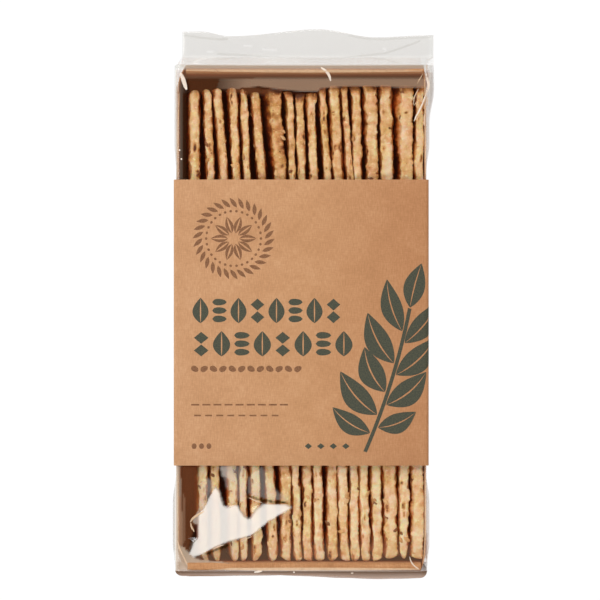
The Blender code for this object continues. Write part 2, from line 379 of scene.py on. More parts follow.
def ripple(rng, scale, *place):
    """A smooth random field with values mostly between -1 and 1: a quarter of the sum of
    ten sine waves, with random directions and phases and with lengths of 0.7 to 1.6 times
    the scale."""
    total = np.zeros(np.broadcast(*place).shape)
    for _ in range(RIPPLE_WAVES):
        heading = rng.normal(size=len(place))
        heading /= np.linalg.norm(heading)
        length = scale * rng.uniform(0.7, 1.6)
        phase = rng.uniform(0, 2 * math.pi)
        total = total + np.sin(sum(h * p for h, p in zip(heading, place)) * 2 * math.pi / length + phase)
    return total / 4.0


def cracker_outline():
    """One ring round a cracker, as how far across (-1 to 1), how high on the rounded top
    (0 at its brim, 1 on top) and how far down (0 to 1) each point is: a squarish half
    ellipse on top, sides whose points stand closer near the top, and a flat foot."""
    turn = np.linspace(math.pi, 0, TOP_POINTS)
    across = np.sign(np.cos(turn)) * np.abs(np.cos(turn)) ** 0.55
    rise = np.sin(turn) ** 0.55
    down = np.linspace(0, 1, SIDE_POINTS + 1)[1:] ** 1.8
    ones, none = np.ones(SIDE_POINTS), np.zeros(SIDE_POINTS)
    return (np.concatenate([across, ones, -ones]), np.concatenate([rise, none, none]),
            np.concatenate([np.zeros(TOP_POINTS), down, down[::-1]]))


def cracker_stations(foot, head):
    """Places along a cracker: close together where it shows and at its ends, and far
    apart under the sleeve."""
    low, high = sleeve_low[1] + UNDER_SLEEVE, sleeve_high[1] - UNDER_SLEEVE
    return np.concatenate([foot + END_RINGS, np.arange(foot + RINGS_FROM_END, low, SHOWN_STEP),
                           np.arange(low, high, HIDDEN_STEP), np.arange(high, head - RINGS_FROM_END, SHOWN_STEP),
                           (head - END_RINGS)[::-1]])


def cracker_surface(number):
    """The points of one cracker as a (rings, around, 3) array, how brown each is, with painted
    light that pales it towards the foot, and how deep in the stack.

    Its middle sheet runs straight from its place at the foot to its place at the head,
    leans, and waves: line + lean * depth + long waves + docking wave. Each face stands
    off that sheet by half the thickness, times 1 plus a random field, plus a dome for
    each blister. Towards an end it tapers, and its last half millimetre is rounded.
    """
    rng = np.random.default_rng(FIRST_DRAW + number)
    across, rise, down = (a[None, :] for a in cracker_outline())
    bow = ROLL_BOW * math.sin(math.pi * (FOOT_X[number] * MM - TRAY_LEFT) / (TRAY_RIGHT - TRAY_LEFT))
    back = SET_BACK if number >= SET_BACK_FROM else 0.0
    foot, head = CRACKER_FOOT + bow + rng.uniform(0.0, FOOT_PLAY) * MM + back, HEAD_ENDS[number] * MM
    touching = number >= LOOSE_ENDS
    y = cracker_stations(foot, head)[:, None]
    depth = down * CRACKER_HEIGHT

    to_foot = np.clip((y - foot) / (FOOT_TAPER[number] * MM), 0, 1)
    to_head = np.clip((head - y) / (HEAD_TAPER[number] * MM), 0, 1)
    narrow = (1 - FOOT_NARROW * (1 - to_foot) ** 1.6) * (1 - HEAD_NARROW[touching] * (1 - to_head) ** 1.6)
    tip = np.clip(np.minimum(y - foot, head - y) / TIP_LENGTH, 0, 1)
    swell = narrow * np.clip(np.sqrt(1 - (1 - tip) ** 2), TIP_LEAST, 1)

    share = (y / MM - FOOT_Y) / (HEAD_Y - FOOT_Y)
    line = (FOOT_X[number] + (HEAD_X[number] - FOOT_X[number]) * share) * MM
    line = line - HEAD_SKEW[number] * (y - HEAD_Y * MM) / SKEW_REACH * smooth_step((y - SKEW_STARTS) / SKEW_BLEND)
    thick = (FOOT_THICK[number] + (HEAD_THICK[number] - FOOT_THICK[number]) * np.clip(share, -0.2, 1.2)) * MM
    slant = rng.uniform(-FOOT_SLANT, FOOT_SLANT) * thick * (1 - to_foot) ** 1.5
    slant = slant + rng.uniform(-HEAD_SLANT, HEAD_SLANT) * thick * (1 - to_head) ** 1.5
    lean = -math.tan(math.radians(LEAN + LEAN_EACH_MM * HEAD_X[number] + rng.uniform(-LEAN_PLAY, LEAN_PLAY)))
    wave = sum(high * MM * ripple(rng, long * MM, y, depth) for high, long in SHEET_WAVES)
    dock = DOCK_DEPTH * np.cos(2 * math.pi * y / DOCKING + rng.uniform(0, 6))
    dock = dock * np.cos(2 * math.pi * depth / DOCKING)
    face = across + 0 * y
    rough = sum(high * ripple(rng, long * MM, y, depth + shift * MM * (across > 0))
                for high, long, shift in FACE_WAVES)
    flank = smooth_step(depth / FLARE_DEPTH)
    blister = np.zeros(face.shape)
    for _ in range(BLISTERS):
        at_y, at_depth = rng.uniform(foot, head), CRACKER_HEIGHT * rng.uniform(0, 1) ** 2.4
        far = np.sqrt((y - at_y) ** 2 + (depth - at_depth) ** 2) / (rng.uniform(*BLISTER_RADIUS) * MM)
        dome = np.sqrt(np.clip(1 - far ** 2, 0, 1)) * rng.uniform(*BLISTER_RISE)
        blister = np.maximum(blister, dome * (np.sign(across) == rng.choice((-1, 1))))
    ending = 1 - smooth_step((head - y) / ENDING)
    half = thick / 2 * (1 + rough + FLARE * flank) + BLISTER_HEIGHT * blister + END_SWELL * ending * touching
    bend = BENT.get(number, 0.0) * smooth_step((y - sleeve_high[1]) / BEND_RUN) * smooth_step(depth / BEND_DEPTH)
    x = line + slant + lean * depth - bend + wave + dock + half * face * swell
    x = np.minimum(x, walls_at(y - tray_foot)[1] - BOARD - WALL_GAP)

    top = CRACKER_TOP
    for high, long in TOP_WAVES:
        top = top + high * MM * ripple(rng, long * MM, y)
    top = top + rng.uniform(*TOP_PLAY) * MM - CORNER_DROP * (1 - np.minimum(to_foot, to_head)) ** 2
    top = top - END_DROP * ending * touching
    crumb = sum(high * MM * ripple(rng, long * MM, y, across * CRUMB_WIDE * MM) for high, long in CRUMB_WAVES)
    z = top - TOP_ROUNDING * (1 - rise * swell) - depth + crumb * (rise > 0.3)

    spot = np.zeros(face.shape)
    for _ in range(SPOTS // 2 if number in BROWNER else SPOTS):
        at_y, at_x = rng.uniform(foot, head), rng.uniform(-1.2, 1.2)
        long, wide = rng.uniform(*SPOT_LENGTH) * MM, rng.uniform(*SPOT_WIDTH)
        ring = rng.uniform(0, SPOT_RING)
        far = np.sqrt(((y - at_y) / long) ** 2 + ((across - at_x) / wide) ** 2 + (depth / SPOT_DEPTH) ** 2)
        spot = np.maximum(spot, np.exp(-((far - ring) / SPOT_BLUR) ** 2) * rng.uniform(*SPOT_BROWN) * (far < 2))
    brown = BLISTER_BROWN * blister
    for high, long, turn in BROWN_WAVES:
        brown = brown + high * ripple(rng, long * MM, y, depth + across * turn * MM)
    brown = brown + SPOTS_BROWN * spot + rng.uniform(*BROWN_PLAY)
    # painted light: faces and tops are made paler towards the foot, as if lit more there
    pale = smooth_step(-y / PAINTED_LIGHT_RUN)
    brown = brown + EDGE_BROWN * np.abs(across) ** 6 + (FLANK_BROWN - PAINTED_LIGHT_FLANK * pale) * flank
    brown = brown + BROWNER.get(number, 0.0) - PAINTED_LIGHT_TOP * pale + BENT_BROWN * flank * (number in BENT) * (y > 0)
    brown = brown + FOOT_BAKE[number] + (HEAD_BAKE[number] - FOOT_BAKE[number]) * np.clip(share, 0, 1)
    brown = brown + FOOT_END_BROWN * (1 - smooth_step((y - foot) / FOOT_END)) + HEAD_END_BROWN[touching] * ending
    return np.stack(np.broadcast_arrays(x, y, z), axis=-1), brown, np.broadcast_to(depth / CRACKER_HEIGHT, face.shape)


PATCHES = 2.4 * MM
WHEAT = 5.0 * MM
FLECK = 1.1 * MM
CRUMB = 0.45 * MM
PORES = 0.8 * MM


def baked_cracker():
    """Baked wheat dough: blisters, seeds' rims and thin edges brown first and the rest
    stays straw coloured, with open pores and a trace of oil that gives soft highlights.
    The attribute browning says how brown baking made each place, and carries painted light
    too: crackers are made paler towards the foot. The attribute depth darkens and reddens the
    faces that stand against each other, a painted shade for where light only comes by way of other crackers.
    The flour turns from yellow to pinkish straw every few millimetres."""
    material, add = new_material("baked cracker")
    place = add("TexCoord", output="Object")
    # the browning attribute also carries painted light: paler towards the foot
    heat_and_painted_light, depth = (add("Attribute", output="Fac", attribute_name=name) for name in ("browning", "depth"))
    crumb, patches, flecks, wheat = (
        add("TexNoise", {"Vector": place, "Scale": 1 / size, "Detail": detail, "Roughness": rough})
        for size, detail, rough in ((CRUMB, 4.0, 0.7), (PATCHES, 5.0, 0.62), (FLECK, 2.0, 0.6), (WHEAT, 3.0, 0.6)))
    level = add("Math", {0: heat_and_painted_light, 1: patches}, operation="ADD")
    level = add("Math", {0: crumb, 1: 0.40, 2: level}, operation="MULTIPLY_ADD")
    pale = add("MapRange", {"Value": flecks, "From Min": 0.62, "From Max": 0.70, "To Max": 0.35})
    level = add("Math", {0: level, 1: pale}, operation="SUBTRACT")
    burnt = add("MapRange", {"Value": flecks, "From Min": 0.30, "From Max": 0.24, "To Max": 0.50})
    level = add("Math", {0: level, 1: burnt}, operation="ADD")
    level = add("MapRange", {"Value": level, "From Min": 0.30, "From Max": 1.50})
    baked = add("ValToRGB", {"Fac": level}, stops=((0.0, "#FFF0D8"), (0.22, "#FADBB4"), (0.42, "#EDC292"),
                                                   (0.60, "#D89F64"), (0.80, "#9E6230"), (1.0, "#5A2C10")))
    wheat = add("MapRange", {"Value": wheat, "From Min": 0.35, "From Max": 0.65})
    wheat = add("ValToRGB", {"Fac": wheat}, stops=((0.0, "#F7FCE2"), (1.0, "#F9EFE8")))
    # painted shade: the deeper a face, the darker and redder, for light that only comes by way of other crackers
    painted_depth_shade = add("ValToRGB", {"Fac": depth}, stops=((0.0, "#FFFFFF"), (0.08, "#F6B97C"), (0.30, "#F07C38")))
    for tint in (wheat, painted_depth_shade):
        baked = add("Mix", {"Factor": 1.0, "A": baked, "B": tint}, "Result", **MULTIPLY)
    pores = add("TexVoronoi", {"Vector": place, "Scale": 1 / PORES}, "Distance")
    pores = add("MapRange", {"Value": pores, "From Min": 0.05, "From Max": 0.4})
    height = add("Math", {0: pores, 1: 0.5, 2: crumb}, operation="MULTIPLY_ADD")
    bump = add("Bump", {"Height": height, "Strength": 0.7, "Distance": 0.18 * MM})
    dough = add("BsdfPrincipled", {
        "Base Color": baked, "Normal": bump, "Roughness": 0.5, "IOR": 1.45, "Subsurface Weight": 0.35,
        "Subsurface Radius": (1.0, 0.35, 0.12), "Subsurface Scale": 1.5 * MM})
    add("OutputMaterial", {"Surface": dough})
    return material


dough = baked_cracker()
crackers = []
for number in range(len(HEAD_X)):
    points, browning, depth = cracker_surface(number)
    crackers.append(points)
    cracker = mesh_piece(f"cracker_{number + 1:02d}", points, tube_faces(*points.shape[:2]), dough, 60,
                         browning=browning, depth=depth)
    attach(cracker, "root")
    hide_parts("clear_wrap")


# Sesame seeds
# Hulled and unhulled seeds kneaded into the dough, so each lies flat in the skin of a
# cracker with its broad side out, held by the crumb baked round it.

SEEDS_EACH, SEEDS_DRAW = 12, 77
SEED_LENGTH = 2.9 * MM
SEED_WIDTH = 1.7 * MM
SEED_THICK = 0.8 * MM
SEED_RINGS = 6
SEED_AROUND = 8
# how deep a seed sits in the crumb, in mm, how far it is turned, and its size
SEED_SUNK, SEED_TURN, SEED_SIZE = (0.1, 0.32), 0.6, (0.8, 1.1)
SEED_TOAST, TOAST_PLAY = (0.1, 0.2, 0.3, 0.5, 0.8), 0.08
# they keep off the last rings at an end, and within a few points of a cracker's top
SEED_FREE_RINGS, SEED_POINTS = 8, (-5, TOP_POINTS + 4)


def seed_shape():
    """A teardrop with unit half length, half width and half thickness: the radius at t
    along it is sin(pi t)^0.8 * (1.15 - 0.55 t), so that one end is blunt and one pointed."""
    t = np.linspace(0.03, 0.97, SEED_RINGS)[:, None]
    turn = np.linspace(0, 2 * math.pi, SEED_AROUND, endpoint=False)[None, :]
    radius = np.sin(math.pi * t) ** 0.8 * (1.15 - 0.55 * t)
    return np.stack(np.broadcast_arrays(2 * t - 1, radius * np.cos(turn), radius * np.sin(turn)), axis=-1)


def scattered_seeds(rng):
    """Seeds set into the crackers near their tops: the points, the faces and how toasted
    each point is. A seed lies along the skin, turned at random in it."""
    shape = seed_shape().reshape(-1, 3) * (SEED_LENGTH / 2, SEED_WIDTH / 2, SEED_THICK / 2)
    faces = tube_faces(SEED_RINGS, SEED_AROUND)
    shells, toast = [], []
    for points in crackers:
        rings, around = points.shape[:2]
        for _ in range(SEEDS_EACH):
            ring = rng.integers(SEED_FREE_RINGS, rings - SEED_FREE_RINGS)
            step = rng.integers(*SEED_POINTS) % around
            along = points[ring + 1, step] - points[ring - 1, step]
            across = points[ring, (step + 1) % around] - points[ring, step - 1]
            out = np.cross(across, along)
            out, along = out / np.linalg.norm(out), along / np.linalg.norm(along)
            out = out if out[2] > -0.2 else -out
            turn = rng.normal(0, SEED_TURN)
            along = along * math.cos(turn) + np.cross(out, along) * math.sin(turn)
            frame_axes = np.stack([along, np.cross(out, along), out])
            size = rng.uniform(*SEED_SIZE)
            centre = points[ring, step] - out * rng.uniform(*SEED_SUNK) * MM
            shells.append((centre + size * shape @ frame_axes, faces))
            toast.append(np.full(len(shape), rng.choice(SEED_TOAST) + rng.uniform(-TOAST_PLAY, TOAST_PLAY)))
    points, faces = joined(shells)
    return points, faces, np.concatenate(toast)


def sesame_hull():
    """Sesame hull: a thin satin skin, cream on a hulled seed and toasted to brown on
    others, as the attribute toast says."""
    material, add = new_material("sesame hull")
    toast = add("Attribute", output="Fac", attribute_name="toast")
    colour = add("ValToRGB", {"Fac": toast}, stops=((0.0, "#F0CF9C"), (0.4, "#D9A468"), (0.7, "#9A6234"),
                                                    (1.0, "#5E3518")))
    add("OutputMaterial", {"Surface": add("BsdfPrincipled", {"Base Color": colour, "Roughness": 0.4, "IOR": 1.45})})
    return material


points, faces, toast = scattered_seeds(np.random.default_rng(SEEDS_DRAW))
sesame_seeds = mesh_piece("sesame_seeds", points, faces, sesame_hull(), 60, toast=toast)
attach(sesame_seeds, "root")
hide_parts("clear_wrap")


# Clear film wrap
# One web of polypropylene film, thirty microns thick, wrapped round the tray as a tube.
# Both ends are heat sealed: the upper seal stands out as a flap, the lower is tucked.

WRAP_HALF = (sleeve_high[0] - sleeve_low[0]) / 2 - 0.8 * MM
WRAP_EDGE_RADIUS = 1.2 * MM
SIDE_SLACK = 1.61 * MM
SLACK_STARTS = 1.0 * MM
SLACK_BLEND = 12.0 * MM
# as shares of it: on the left past the head end of the sleeve, on the right, and the ear
LEFT_ABOVE, RIGHT_BESIDE, RIGHT_EAR = 0.6, 0.95, 1.05
EAR_LENGTH = 20.0 * MM
FOOT_DRAW = 0.6
FOOT_DRAW_RUN = 9.0 * MM
TUCK_CORNER = 3.4 * MM
TUCK_SHIFT = 0.9 * MM
SLOPE_RUN = 4.5 * MM
FIN_HEIGHT = 21.5 * MM
FIN_GAP = 0.3 * MM
FIN_RIPPLE = 0.6 * MM
FIN_RIPPLE_LENGTH = 38.0 * MM
FIN_LEFT, FIN_RIGHT = -42.6 * MM, 47.4 * MM
FIN_EDGE_AT = np.array((-36.0, -25.6, 6.0, 26.5, 47.4)) * MM
FIN_EDGE_REACH = np.array((13.4, 11.7, 14.2, 11.4, 12.1)) * MM
TUCK_AT = np.array((-40.0, -22.0, 0.0, 28.0, 44.0)) * MM
TUCK_REACH = np.array((3.7, 3.0, 3.4, 4.7, 4.0)) * MM
FILM_STEP = 0.45 * MM
# how far under the sleeve the film's few rings start, and how far from the head they end
FILM_HIDDEN, HIDDEN_RINGS, HEAD_FREE = 3 * MM, 6, 0.2 * MM
# how much of its quarter turn the tuck takes, and over what length the flap gets crumpled
TUCK_TURN = (0.96, 0.02)
CRUMPLE_RUN = 2 * MM
FILM_COLUMNS = 200
FILM_BACK_COLUMNS = 50
FILM_SIDE = 14
TUCK_RINGS = 26
SLOPE_RINGS = 10
FIN_RINGS = 20


def side_slack(y):
    """How far the film stands off the left and the right side of the tray at y: nothing
    under the sleeve, growing past both ends of it, drawn in again at the tucked end, and
    full in the ear by the flap."""
    below = smooth_step((sleeve_low[1] - SLACK_STARTS - y) / SLACK_BLEND)
    above = smooth_step((y - sleeve_high[1] - SLACK_STARTS) / SLACK_BLEND)
    below = below * (1 - FOOT_DRAW * smooth_step((tray_foot + FOOT_DRAW_RUN - y) / FOOT_DRAW_RUN))
    ear = smooth_step((y - (tray_head - EAR_LENGTH)) / SLACK_BLEND)
    return (SIDE_SLACK * (below + LEFT_ABOVE * above),
            SIDE_SLACK * (RIGHT_BESIDE * below + RIGHT_BESIDE * above + RIGHT_EAR * ear))


def edge_reach(x, at, reach):
    """How far an end's edge stands past the tray at x: smooth steps between its points."""
    left = np.clip(np.searchsorted(at, x) - 1, 0, len(at) - 2)
    share = smooth_step((x - at[left]) / (at[left + 1] - at[left]))
    return reach[left] + (reach[left + 1] - reach[left]) * share


# the film over the tray's open ends is a sheet of flat facets between sharp creases: the
# corners of those facets, as (x, y, height above the rim) in mm
FOOT_FACETS = (
    (-44.3, -89.9, 0.0), (-24.34, -89.9, 0.0), (-4.34, -89.9, 0.0), (20.66, -89.9, 0.0), (44.3, -89.9, 0.0),
    (-44.3, -50.9, 0.0), (-28.34, -50.9, -0.1), (-14.34, -50.9, -0.2), (2.66, -50.9, -0.3), (22.66, -50.9, -0.25),
    (44.3, -50.9, 0.0), (-44.3, -69.9, 0.0), (44.3, -69.9, 0.0), (6.66, -61.9, -0.35), (10.66, -74.9, -0.55),
    (28.66, -66.9, -0.4), (-5.34, -80.9, -0.65), (30.66, -80.9, -0.45),
)
# the facets of the big smooth patch at the lower left lie in one tilted plane, through
# PATCH_MIDDLE with PATCH_SLOPE, and these are its corners
PATCH = ((-39.7, -83.9), (-38.1, -84.6), (-35.3, -83.8), (-30.4, -81.1), (-25.6, -79.1), (-18.6, -77.2),
         (-15.9, -75.5), (-11.5, -71.7), (-3.1, -67.0), (-5.0, -65.9), (-13.3, -65.6), (-15.9, -67.4), (-18.4, -71.2),
         (-20.4, -69.7), (-22.6, -65.9), (-26.1, -67.3), (-27.5, -66.2), (-28.8, -61.2), (-30.2, -59.5),
         (-32.7, -64.0), (-33.9, -67.2), (-36.2, -69.3), (-36.3, -77.6), (-37.8, -79.0))
PATCH_MIDDLE = (-27.34, -70.9, -0.55)
PATCH_SLOPE = (0.030, 0.033)
# dents beside the patch, between its points
PATCH_DENTS = ((-26.94, -60.9, -0.5), (-17.34, -66.9, -0.6), (-35.84, -60.9, -0.15), (-40.54, -77.4, -0.75))
# past the rim at the head the film drops along a steep strip to lie low on the crackers
STRIP_TOP = 85.5
STRIP_FOOT = 80.3
STRIP_DROP = -0.5
HEAD_FACETS = (
    (-44.3, 89.3, 0.0), (44.3, 89.3, 0.0),
    (-44.3, STRIP_TOP, 0.0), (-19.34, STRIP_TOP, 0.0), (12.66, STRIP_TOP, 0.0), (44.3, STRIP_TOP, 0.0),
    (-40.34, STRIP_FOOT, -0.45), (-21.34, STRIP_FOOT, STRIP_DROP), (-1.34, STRIP_FOOT, STRIP_DROP),
    (20.66, STRIP_FOOT, STRIP_DROP), (40.66, STRIP_FOOT, -0.45),
    (-44.3, 67.1, 0.0), (44.3, 67.1, 0.0), (-44.3, 48.1, 0.0), (44.3, 48.1, 0.0),
    (-35.34, 71.1, -0.4), (-13.34, 71.1, -0.45), (8.66, 67.1, -0.45), (26.66, 71.1, -0.45), (38.66, 73.1, -0.4),
    (-23.34, 48.1, -0.2), (-3.34, 48.1, -0.25), (18.66, 48.1, -0.2),
)
# the tucked end is creased into facets too: x, height above the table, and how far in
TUCK_FACETS = (
    (-48, 43, 0.0), (48, 43, 0.0), (-48, -1, 0.0), (48, -1, 0.0), (-48, 21, 0.0), (48, 21, 0.0),
    (-30, 21, 0.0), (-8, 21, 0.0), (14, 21, 0.0), (33, 21, 0.0), (-38, 31, 0.9), (-20, 30, 0.0), (-4, 32, 1.0),
    (12, 29, 0.1), (27, 31, 1.0), (40, 30, 0.1), (-36, 9, 0.1), (-18, 12, 1.0), (2, 8, 0.0), (18, 12, 1.0),
    (35, 9, 0.3),
)
# the flap and the slope under it are crumpled into long level facets
FIN_FACETS = (
    (-48, 88.6, 0.0), (50, 88.6, 0.0), (-48, 105.1, 0.04), (50, 105.1, -0.08),
    (-28.34, 93.3, 0.14), (-14.04, 94.5, -0.14), (-3.34, 92.7, 0.12), (10.66, 93.5, -0.12), (26.66, 95.5, 0.14),
    (40.66, 96.7, -0.1), (-37.34, 95.1, -0.12), (-27.34, 99.7, 0.16), (-41.34, 101.1, -0.14), (-17.34, 97.5, 0.1),
    (-5.34, 99.1, -0.12), (4.66, 96.6, 0.14), (16.66, 99.6, -0.06), (28.66, 99.3, 0.12), (38.66, 99.9, -0.12),
)


# the edge of the heat seal across the flap, folds at its upper corners, and lines made
# clear again so that the bright table shows through as painted glints, each as x and y in mm and how much milkier it
# is; and their width
FIN_LINES = (
    ((-30.4, -17.9, -8.3, 1.3, 9.6, 15.6, 29.9, 35.3, 42.5), (94.3, 93.7, 93.0, 92.2, 92.0, 92.9, 94.5, 96.3, 98.9),
     0.20),
    ((-42.0, -35.7, -29.7, -26.2), (101.0, 100.1, 99.5, 99.6), 0.22),
    ((17.0, 24.0, 30.0, 38.0, 46.4), (101.0, 99.7, 99.6, 100.1, 100.2), 0.16),
    ((-20.9, -17.6), (97.3, 97.1), -0.12),
    ((-14.1, -8.8), (96.0, 95.7), -0.12),
    ((-33.6, -31.4), (95.2, 94.9), -0.12),
    ((29.0, 30.6), (96.3, 96.0), -0.12),
)
FIN_LINE = 0.35


KEEP_ALL, KEEP_INSIDE = 0, 1


def facet_heights(corners, folds, x, y, keep=KEEP_ALL):
    """The height of a creased sheet over a grid: the corners are joined into triangles,
    with the folds as edges, and each triangle is flat. With KEEP_INSIDE only triangles
    inside the folds are kept."""
    corners = np.asarray(corners, float)
    flat = [Vector(c[:2]) for c in corners]
    at, _, triangles, origins, _, _ = delaunay_2d_cdt(flat, folds, [], keep, 1e-6)
    height = np.zeros_like(x)
    for triangle in triangles:
        a, b, c = (np.array((*at[i], corners[origins[i][0], 2])) for i in triangle)
        area = (b[0] - a[0]) * (c[1] - a[1]) - (c[0] - a[0]) * (b[1] - a[1])
        if abs(area) < 1e-9:
            continue
        second = ((x - a[0]) * (c[1] - a[1]) - (c[0] - a[0]) * (y - a[1])) / area
        third = ((b[0] - a[0]) * (y - a[1]) - (x - a[0]) * (b[1] - a[1])) / area
        inside = (second >= -1e-9) & (third >= -1e-9) & (second + third <= 1 + 1e-9)
        height[inside] = (a[2] + second * (b[2] - a[2]) + third * (c[2] - a[2]))[inside]
    return height


def blurred(field):
    """A field eased by the mean of each point, counted twice, with its four neighbours."""
    wide = np.pad(field, 1, mode="edge")
    return (wide[1:-1, 1:-1] * 2 + wide[2:, 1:-1] + wide[:-2, 1:-1] + wide[1:-1, 2:] + wide[1:-1, :-2]) / 6


def front_relief(x, y):
    """How far the front of the film lies above the rim, in metres, over a grid of places."""
    gx, gy = x / MM, y / MM
    patch = [(px, py, PATCH_MIDDLE[2] + PATCH_SLOPE[0] * (px - PATCH_MIDDLE[0])
              + PATCH_SLOPE[1] * (py - PATCH_MIDDLE[1])) for px, py in PATCH]
    corners = patch + list(PATCH_DENTS) + list(FOOT_FACETS)
    folds = [(i, (i + 1) % len(PATCH)) for i in range(len(PATCH))]
    return blurred(facet_heights(corners, folds, gx, gy) + facet_heights(HEAD_FACETS, [], gx, gy)) * MM


# where the film is milky: over the rolled wall at the head, a little along the lip under
# it, as painted light that lifts the shade there, and in a strip drawn tight from there to the crackers, as a painted
# reflection, with its lower border in mm
RIM_HAZE = 0.46
RIM_STAIN = 0.155
STRIP_HAZE = 0.44
STRIP_STAIN = 0.46
STRIP_START, STRIP_FULL = -36.0, -16.0
LIP_HAZE, LIP_STAIN = 0.26, 0.65
# where each of these starts or ends along the pack, and over what length it fades, in mm
RIM_STARTS, RIM_FADE = 87.1, 0.6
STRIP_ENDS, STRIP_FADE, STRIP_EDGE_FADE = 85.0, 1.4, 0.6
LIP_STARTS, LIP_FADE = 83.4, 1.2
STRIP_EDGE_X = (-44.0, -22.6, -15.2, -7.5, -0.4, 5.9, 6.6, 15.4, 28.1, 34.8, 43.6)
STRIP_EDGE_Y = (80.2, 80.1, 81.1, 80.1, 79.4, 79.4, 80.4, 81.1, 81.1, 80.8, 80.8)
# veils painted on the film between creases: whitish ones as painted reflections, brown ones as painted light and
# shade over dark gaps, and dark lines as painted shadows; how milky, how brown, and corners in mm
PAINTED_LIGHT_VEILS = (
    (0.38, 0.75, ((-42.9, -52.4), (-36.7, -52.4), (-36.4, -68.6), (-39.9, -82.7), (-42.4, -80.2))),
    (0.10, 0.75, ((-42.7, 79.3), (-40.2, 79.3), (-40.6, 49.1), (-42.7, 49.1))),
    (0.24, 0.75, ((-40.2, 84.6), (-28.6, 84.6), (-30.2, 79.3), (-39.2, 79.3))),
    (0.34, 0.75, ((-26.5, 80.1), (-24.4, 81.0), (-16.6, 81.0), (-10.3, 80.1), (-10.3, 78.6), (-16.6, 78.8),
           (-25.1, 79.0))),
    (0.40, 0.28, ((-28.6, -52.4), (-24.0, -52.4), (-23.0, -58.8), (-27.9, -55.8))),
    (0.14, 0.25, ((-24.0, -52.4), (-19.5, -52.4), (-19.5, -64.4), (-21.6, -65.4), (-26.5, -59.8), (-27.2, -56.6))),
    (0.14, 0.25, ((-18.7, -56.6), (-13.8, -52.4), (-8.9, -60.9), (-3.2, -65.4), (-13.1, -65.1), (-18.7, -63.3))),
    (0.18, 0.25, ((-36.0, -59.5), (-33.5, -56.6), (-31.1, -57.3), (-31.1, -60.2), (-33.9, -65.4), (-36.0, -68.6))),
    (0.42, 0.30, ((-36.0, -67.2), (-38.8, -71.4), (-38.5, -72.8), (-36.0, -72.8))),
    (0.46, 0.50, ((-44.8, -60.2), (-42.0, -63.3), (-41.8, -80.2), (-43.4, -82.7), (-44.8, -82.7))),
    (0.40, 0.62, ((-42.4, -59.1), (-40.2, -64.4), (-40.2, -77.8), (-42.0, -81.3))),
    (0.75, 0.38, ((-44.2, -79.5), (-41.3, -80.9), (-39.5, -83.1), (-36.7, -85.2), (-31.1, -85.9), (-23.3, -86.6),
                  (-36.0, -86.9), (-39.4, -89.2), (-44.2, -89.2))),
    # the smooth patch itself, a painted reflection laid over the lamp that its tilted facets really mirror
    (0.67, 0.20, PATCH),
    # dark folds along its upper and its lower border, painted as shadows
    (1.10, 1.0, ((-18.6, -62.7), (-15.0, -63.9), (-10.5, -64.6), (-4.8, -65.1), (-4.8, -65.7), (-10.5, -65.2),
                 (-15.0, -64.5), (-18.6, -63.3))),
    (1.10, 1.0, ((-33.6, -83.1), (-30.9, -82.0), (-25.2, -79.8), (-25.2, -80.4), (-30.9, -82.6), (-33.6, -83.8))),
)
# painted light towards the tucked end, from here to the rolled wall: a milky veil that lifts the dark gaps between
# the crackers' feet
FOOT_HAZE, FOOT_STAIN = 0.14, 0.50
FOOT_STARTS, FOOT_RISE = -76, 7
FOOT_ENDS, FOOT_FADE = -86.6, 0.5
# over the sides; the stain is for the left, for the right beside the tray and further out
SIDE_HAZE = 0.30
SIDE_STAIN = (0.0, 0.32, 0.0)
SIDE_RUN = 1.5 * MM
# towards its left edge the front is milky too, over this width, less at the head and more
# at the foot, as painted light that lifts the dark gap beside the left wall
EDGE_HAZE = (0.34, 0.80)
EDGE_STAIN = 0.38
EDGE_RUN = 5.0
# how milky the plain film is: at the end of the tuck and how much less beside the tray,
# over the tray, at the start of the slope and how much more at its end, on the flap, and
# at the right of the slope; and how brown that is at the tuck, where the film is painted as
# the board in shade behind it and darkest next to the wall as a painted shadow, and on slope and flap
TUCK_MILK, TRAY_MILK, SLOPE_MILK, FLAP_MILK, EAR_MILK = (0.95, 0.45), 0.002, (0.04, 0.07), 0.125, 0.05
TUCK_STAIN, FLAP_STAIN = (1.0, 0.14), 0.1
SIDE_STARTS, SIDE_FADE = WRAP_HALF - 0.5 * MM, 0.6 * MM


def film_haze_and_painted_light(x, y):
    """How milky the front of the film is over a grid of places, and how brown that is: much of it painted
    reflections, painted light and shade over the gaps and painted shadows along folds.
    """
    gx, gy = x / MM, y / MM
    milk = RIM_HAZE * smooth_step((gy - RIM_STARTS) / RIM_FADE)
    stain = np.full_like(gx, RIM_STAIN)
    edge = np.where(gy > 0, *EDGE_HAZE) * np.clip((-WRAP_HALF / MM + EDGE_RUN - gx) / EDGE_RUN, 0, 1) ** 2
    strip = smooth_step((gy - np.interp(gx, STRIP_EDGE_X, STRIP_EDGE_Y)) / STRIP_EDGE_FADE)
    strip = strip * smooth_step((STRIP_ENDS - gy) / STRIP_FADE)
    strip = STRIP_HAZE * strip * smooth_step((gx - STRIP_START) / (STRIP_FULL - STRIP_START))
    foot = FOOT_HAZE * smooth_step((FOOT_STARTS - gy) / FOOT_RISE) * smooth_step((gy - FOOT_ENDS) / FOOT_FADE)
    lip = LIP_HAZE * smooth_step((gy - LIP_STARTS) / LIP_FADE)
    parts = [(lip, LIP_STAIN), (foot, FOOT_STAIN), (strip, STRIP_STAIN), (edge, EDGE_STAIN)]
    for strength, tone, corners in PAINTED_LIGHT_VEILS:
        outline = [(i, (i + 1) % len(corners)) for i in range(len(corners))]
        inside = facet_heights([(*corner, 1.0) for corner in corners], outline, gx, gy, KEEP_INSIDE)
        parts.append((strength * blurred(inside), tone))
    for veil, tone in parts:
        stain = np.where(veil > milk, tone, stain)
        milk = np.maximum(milk, veil)
    return milk, stain


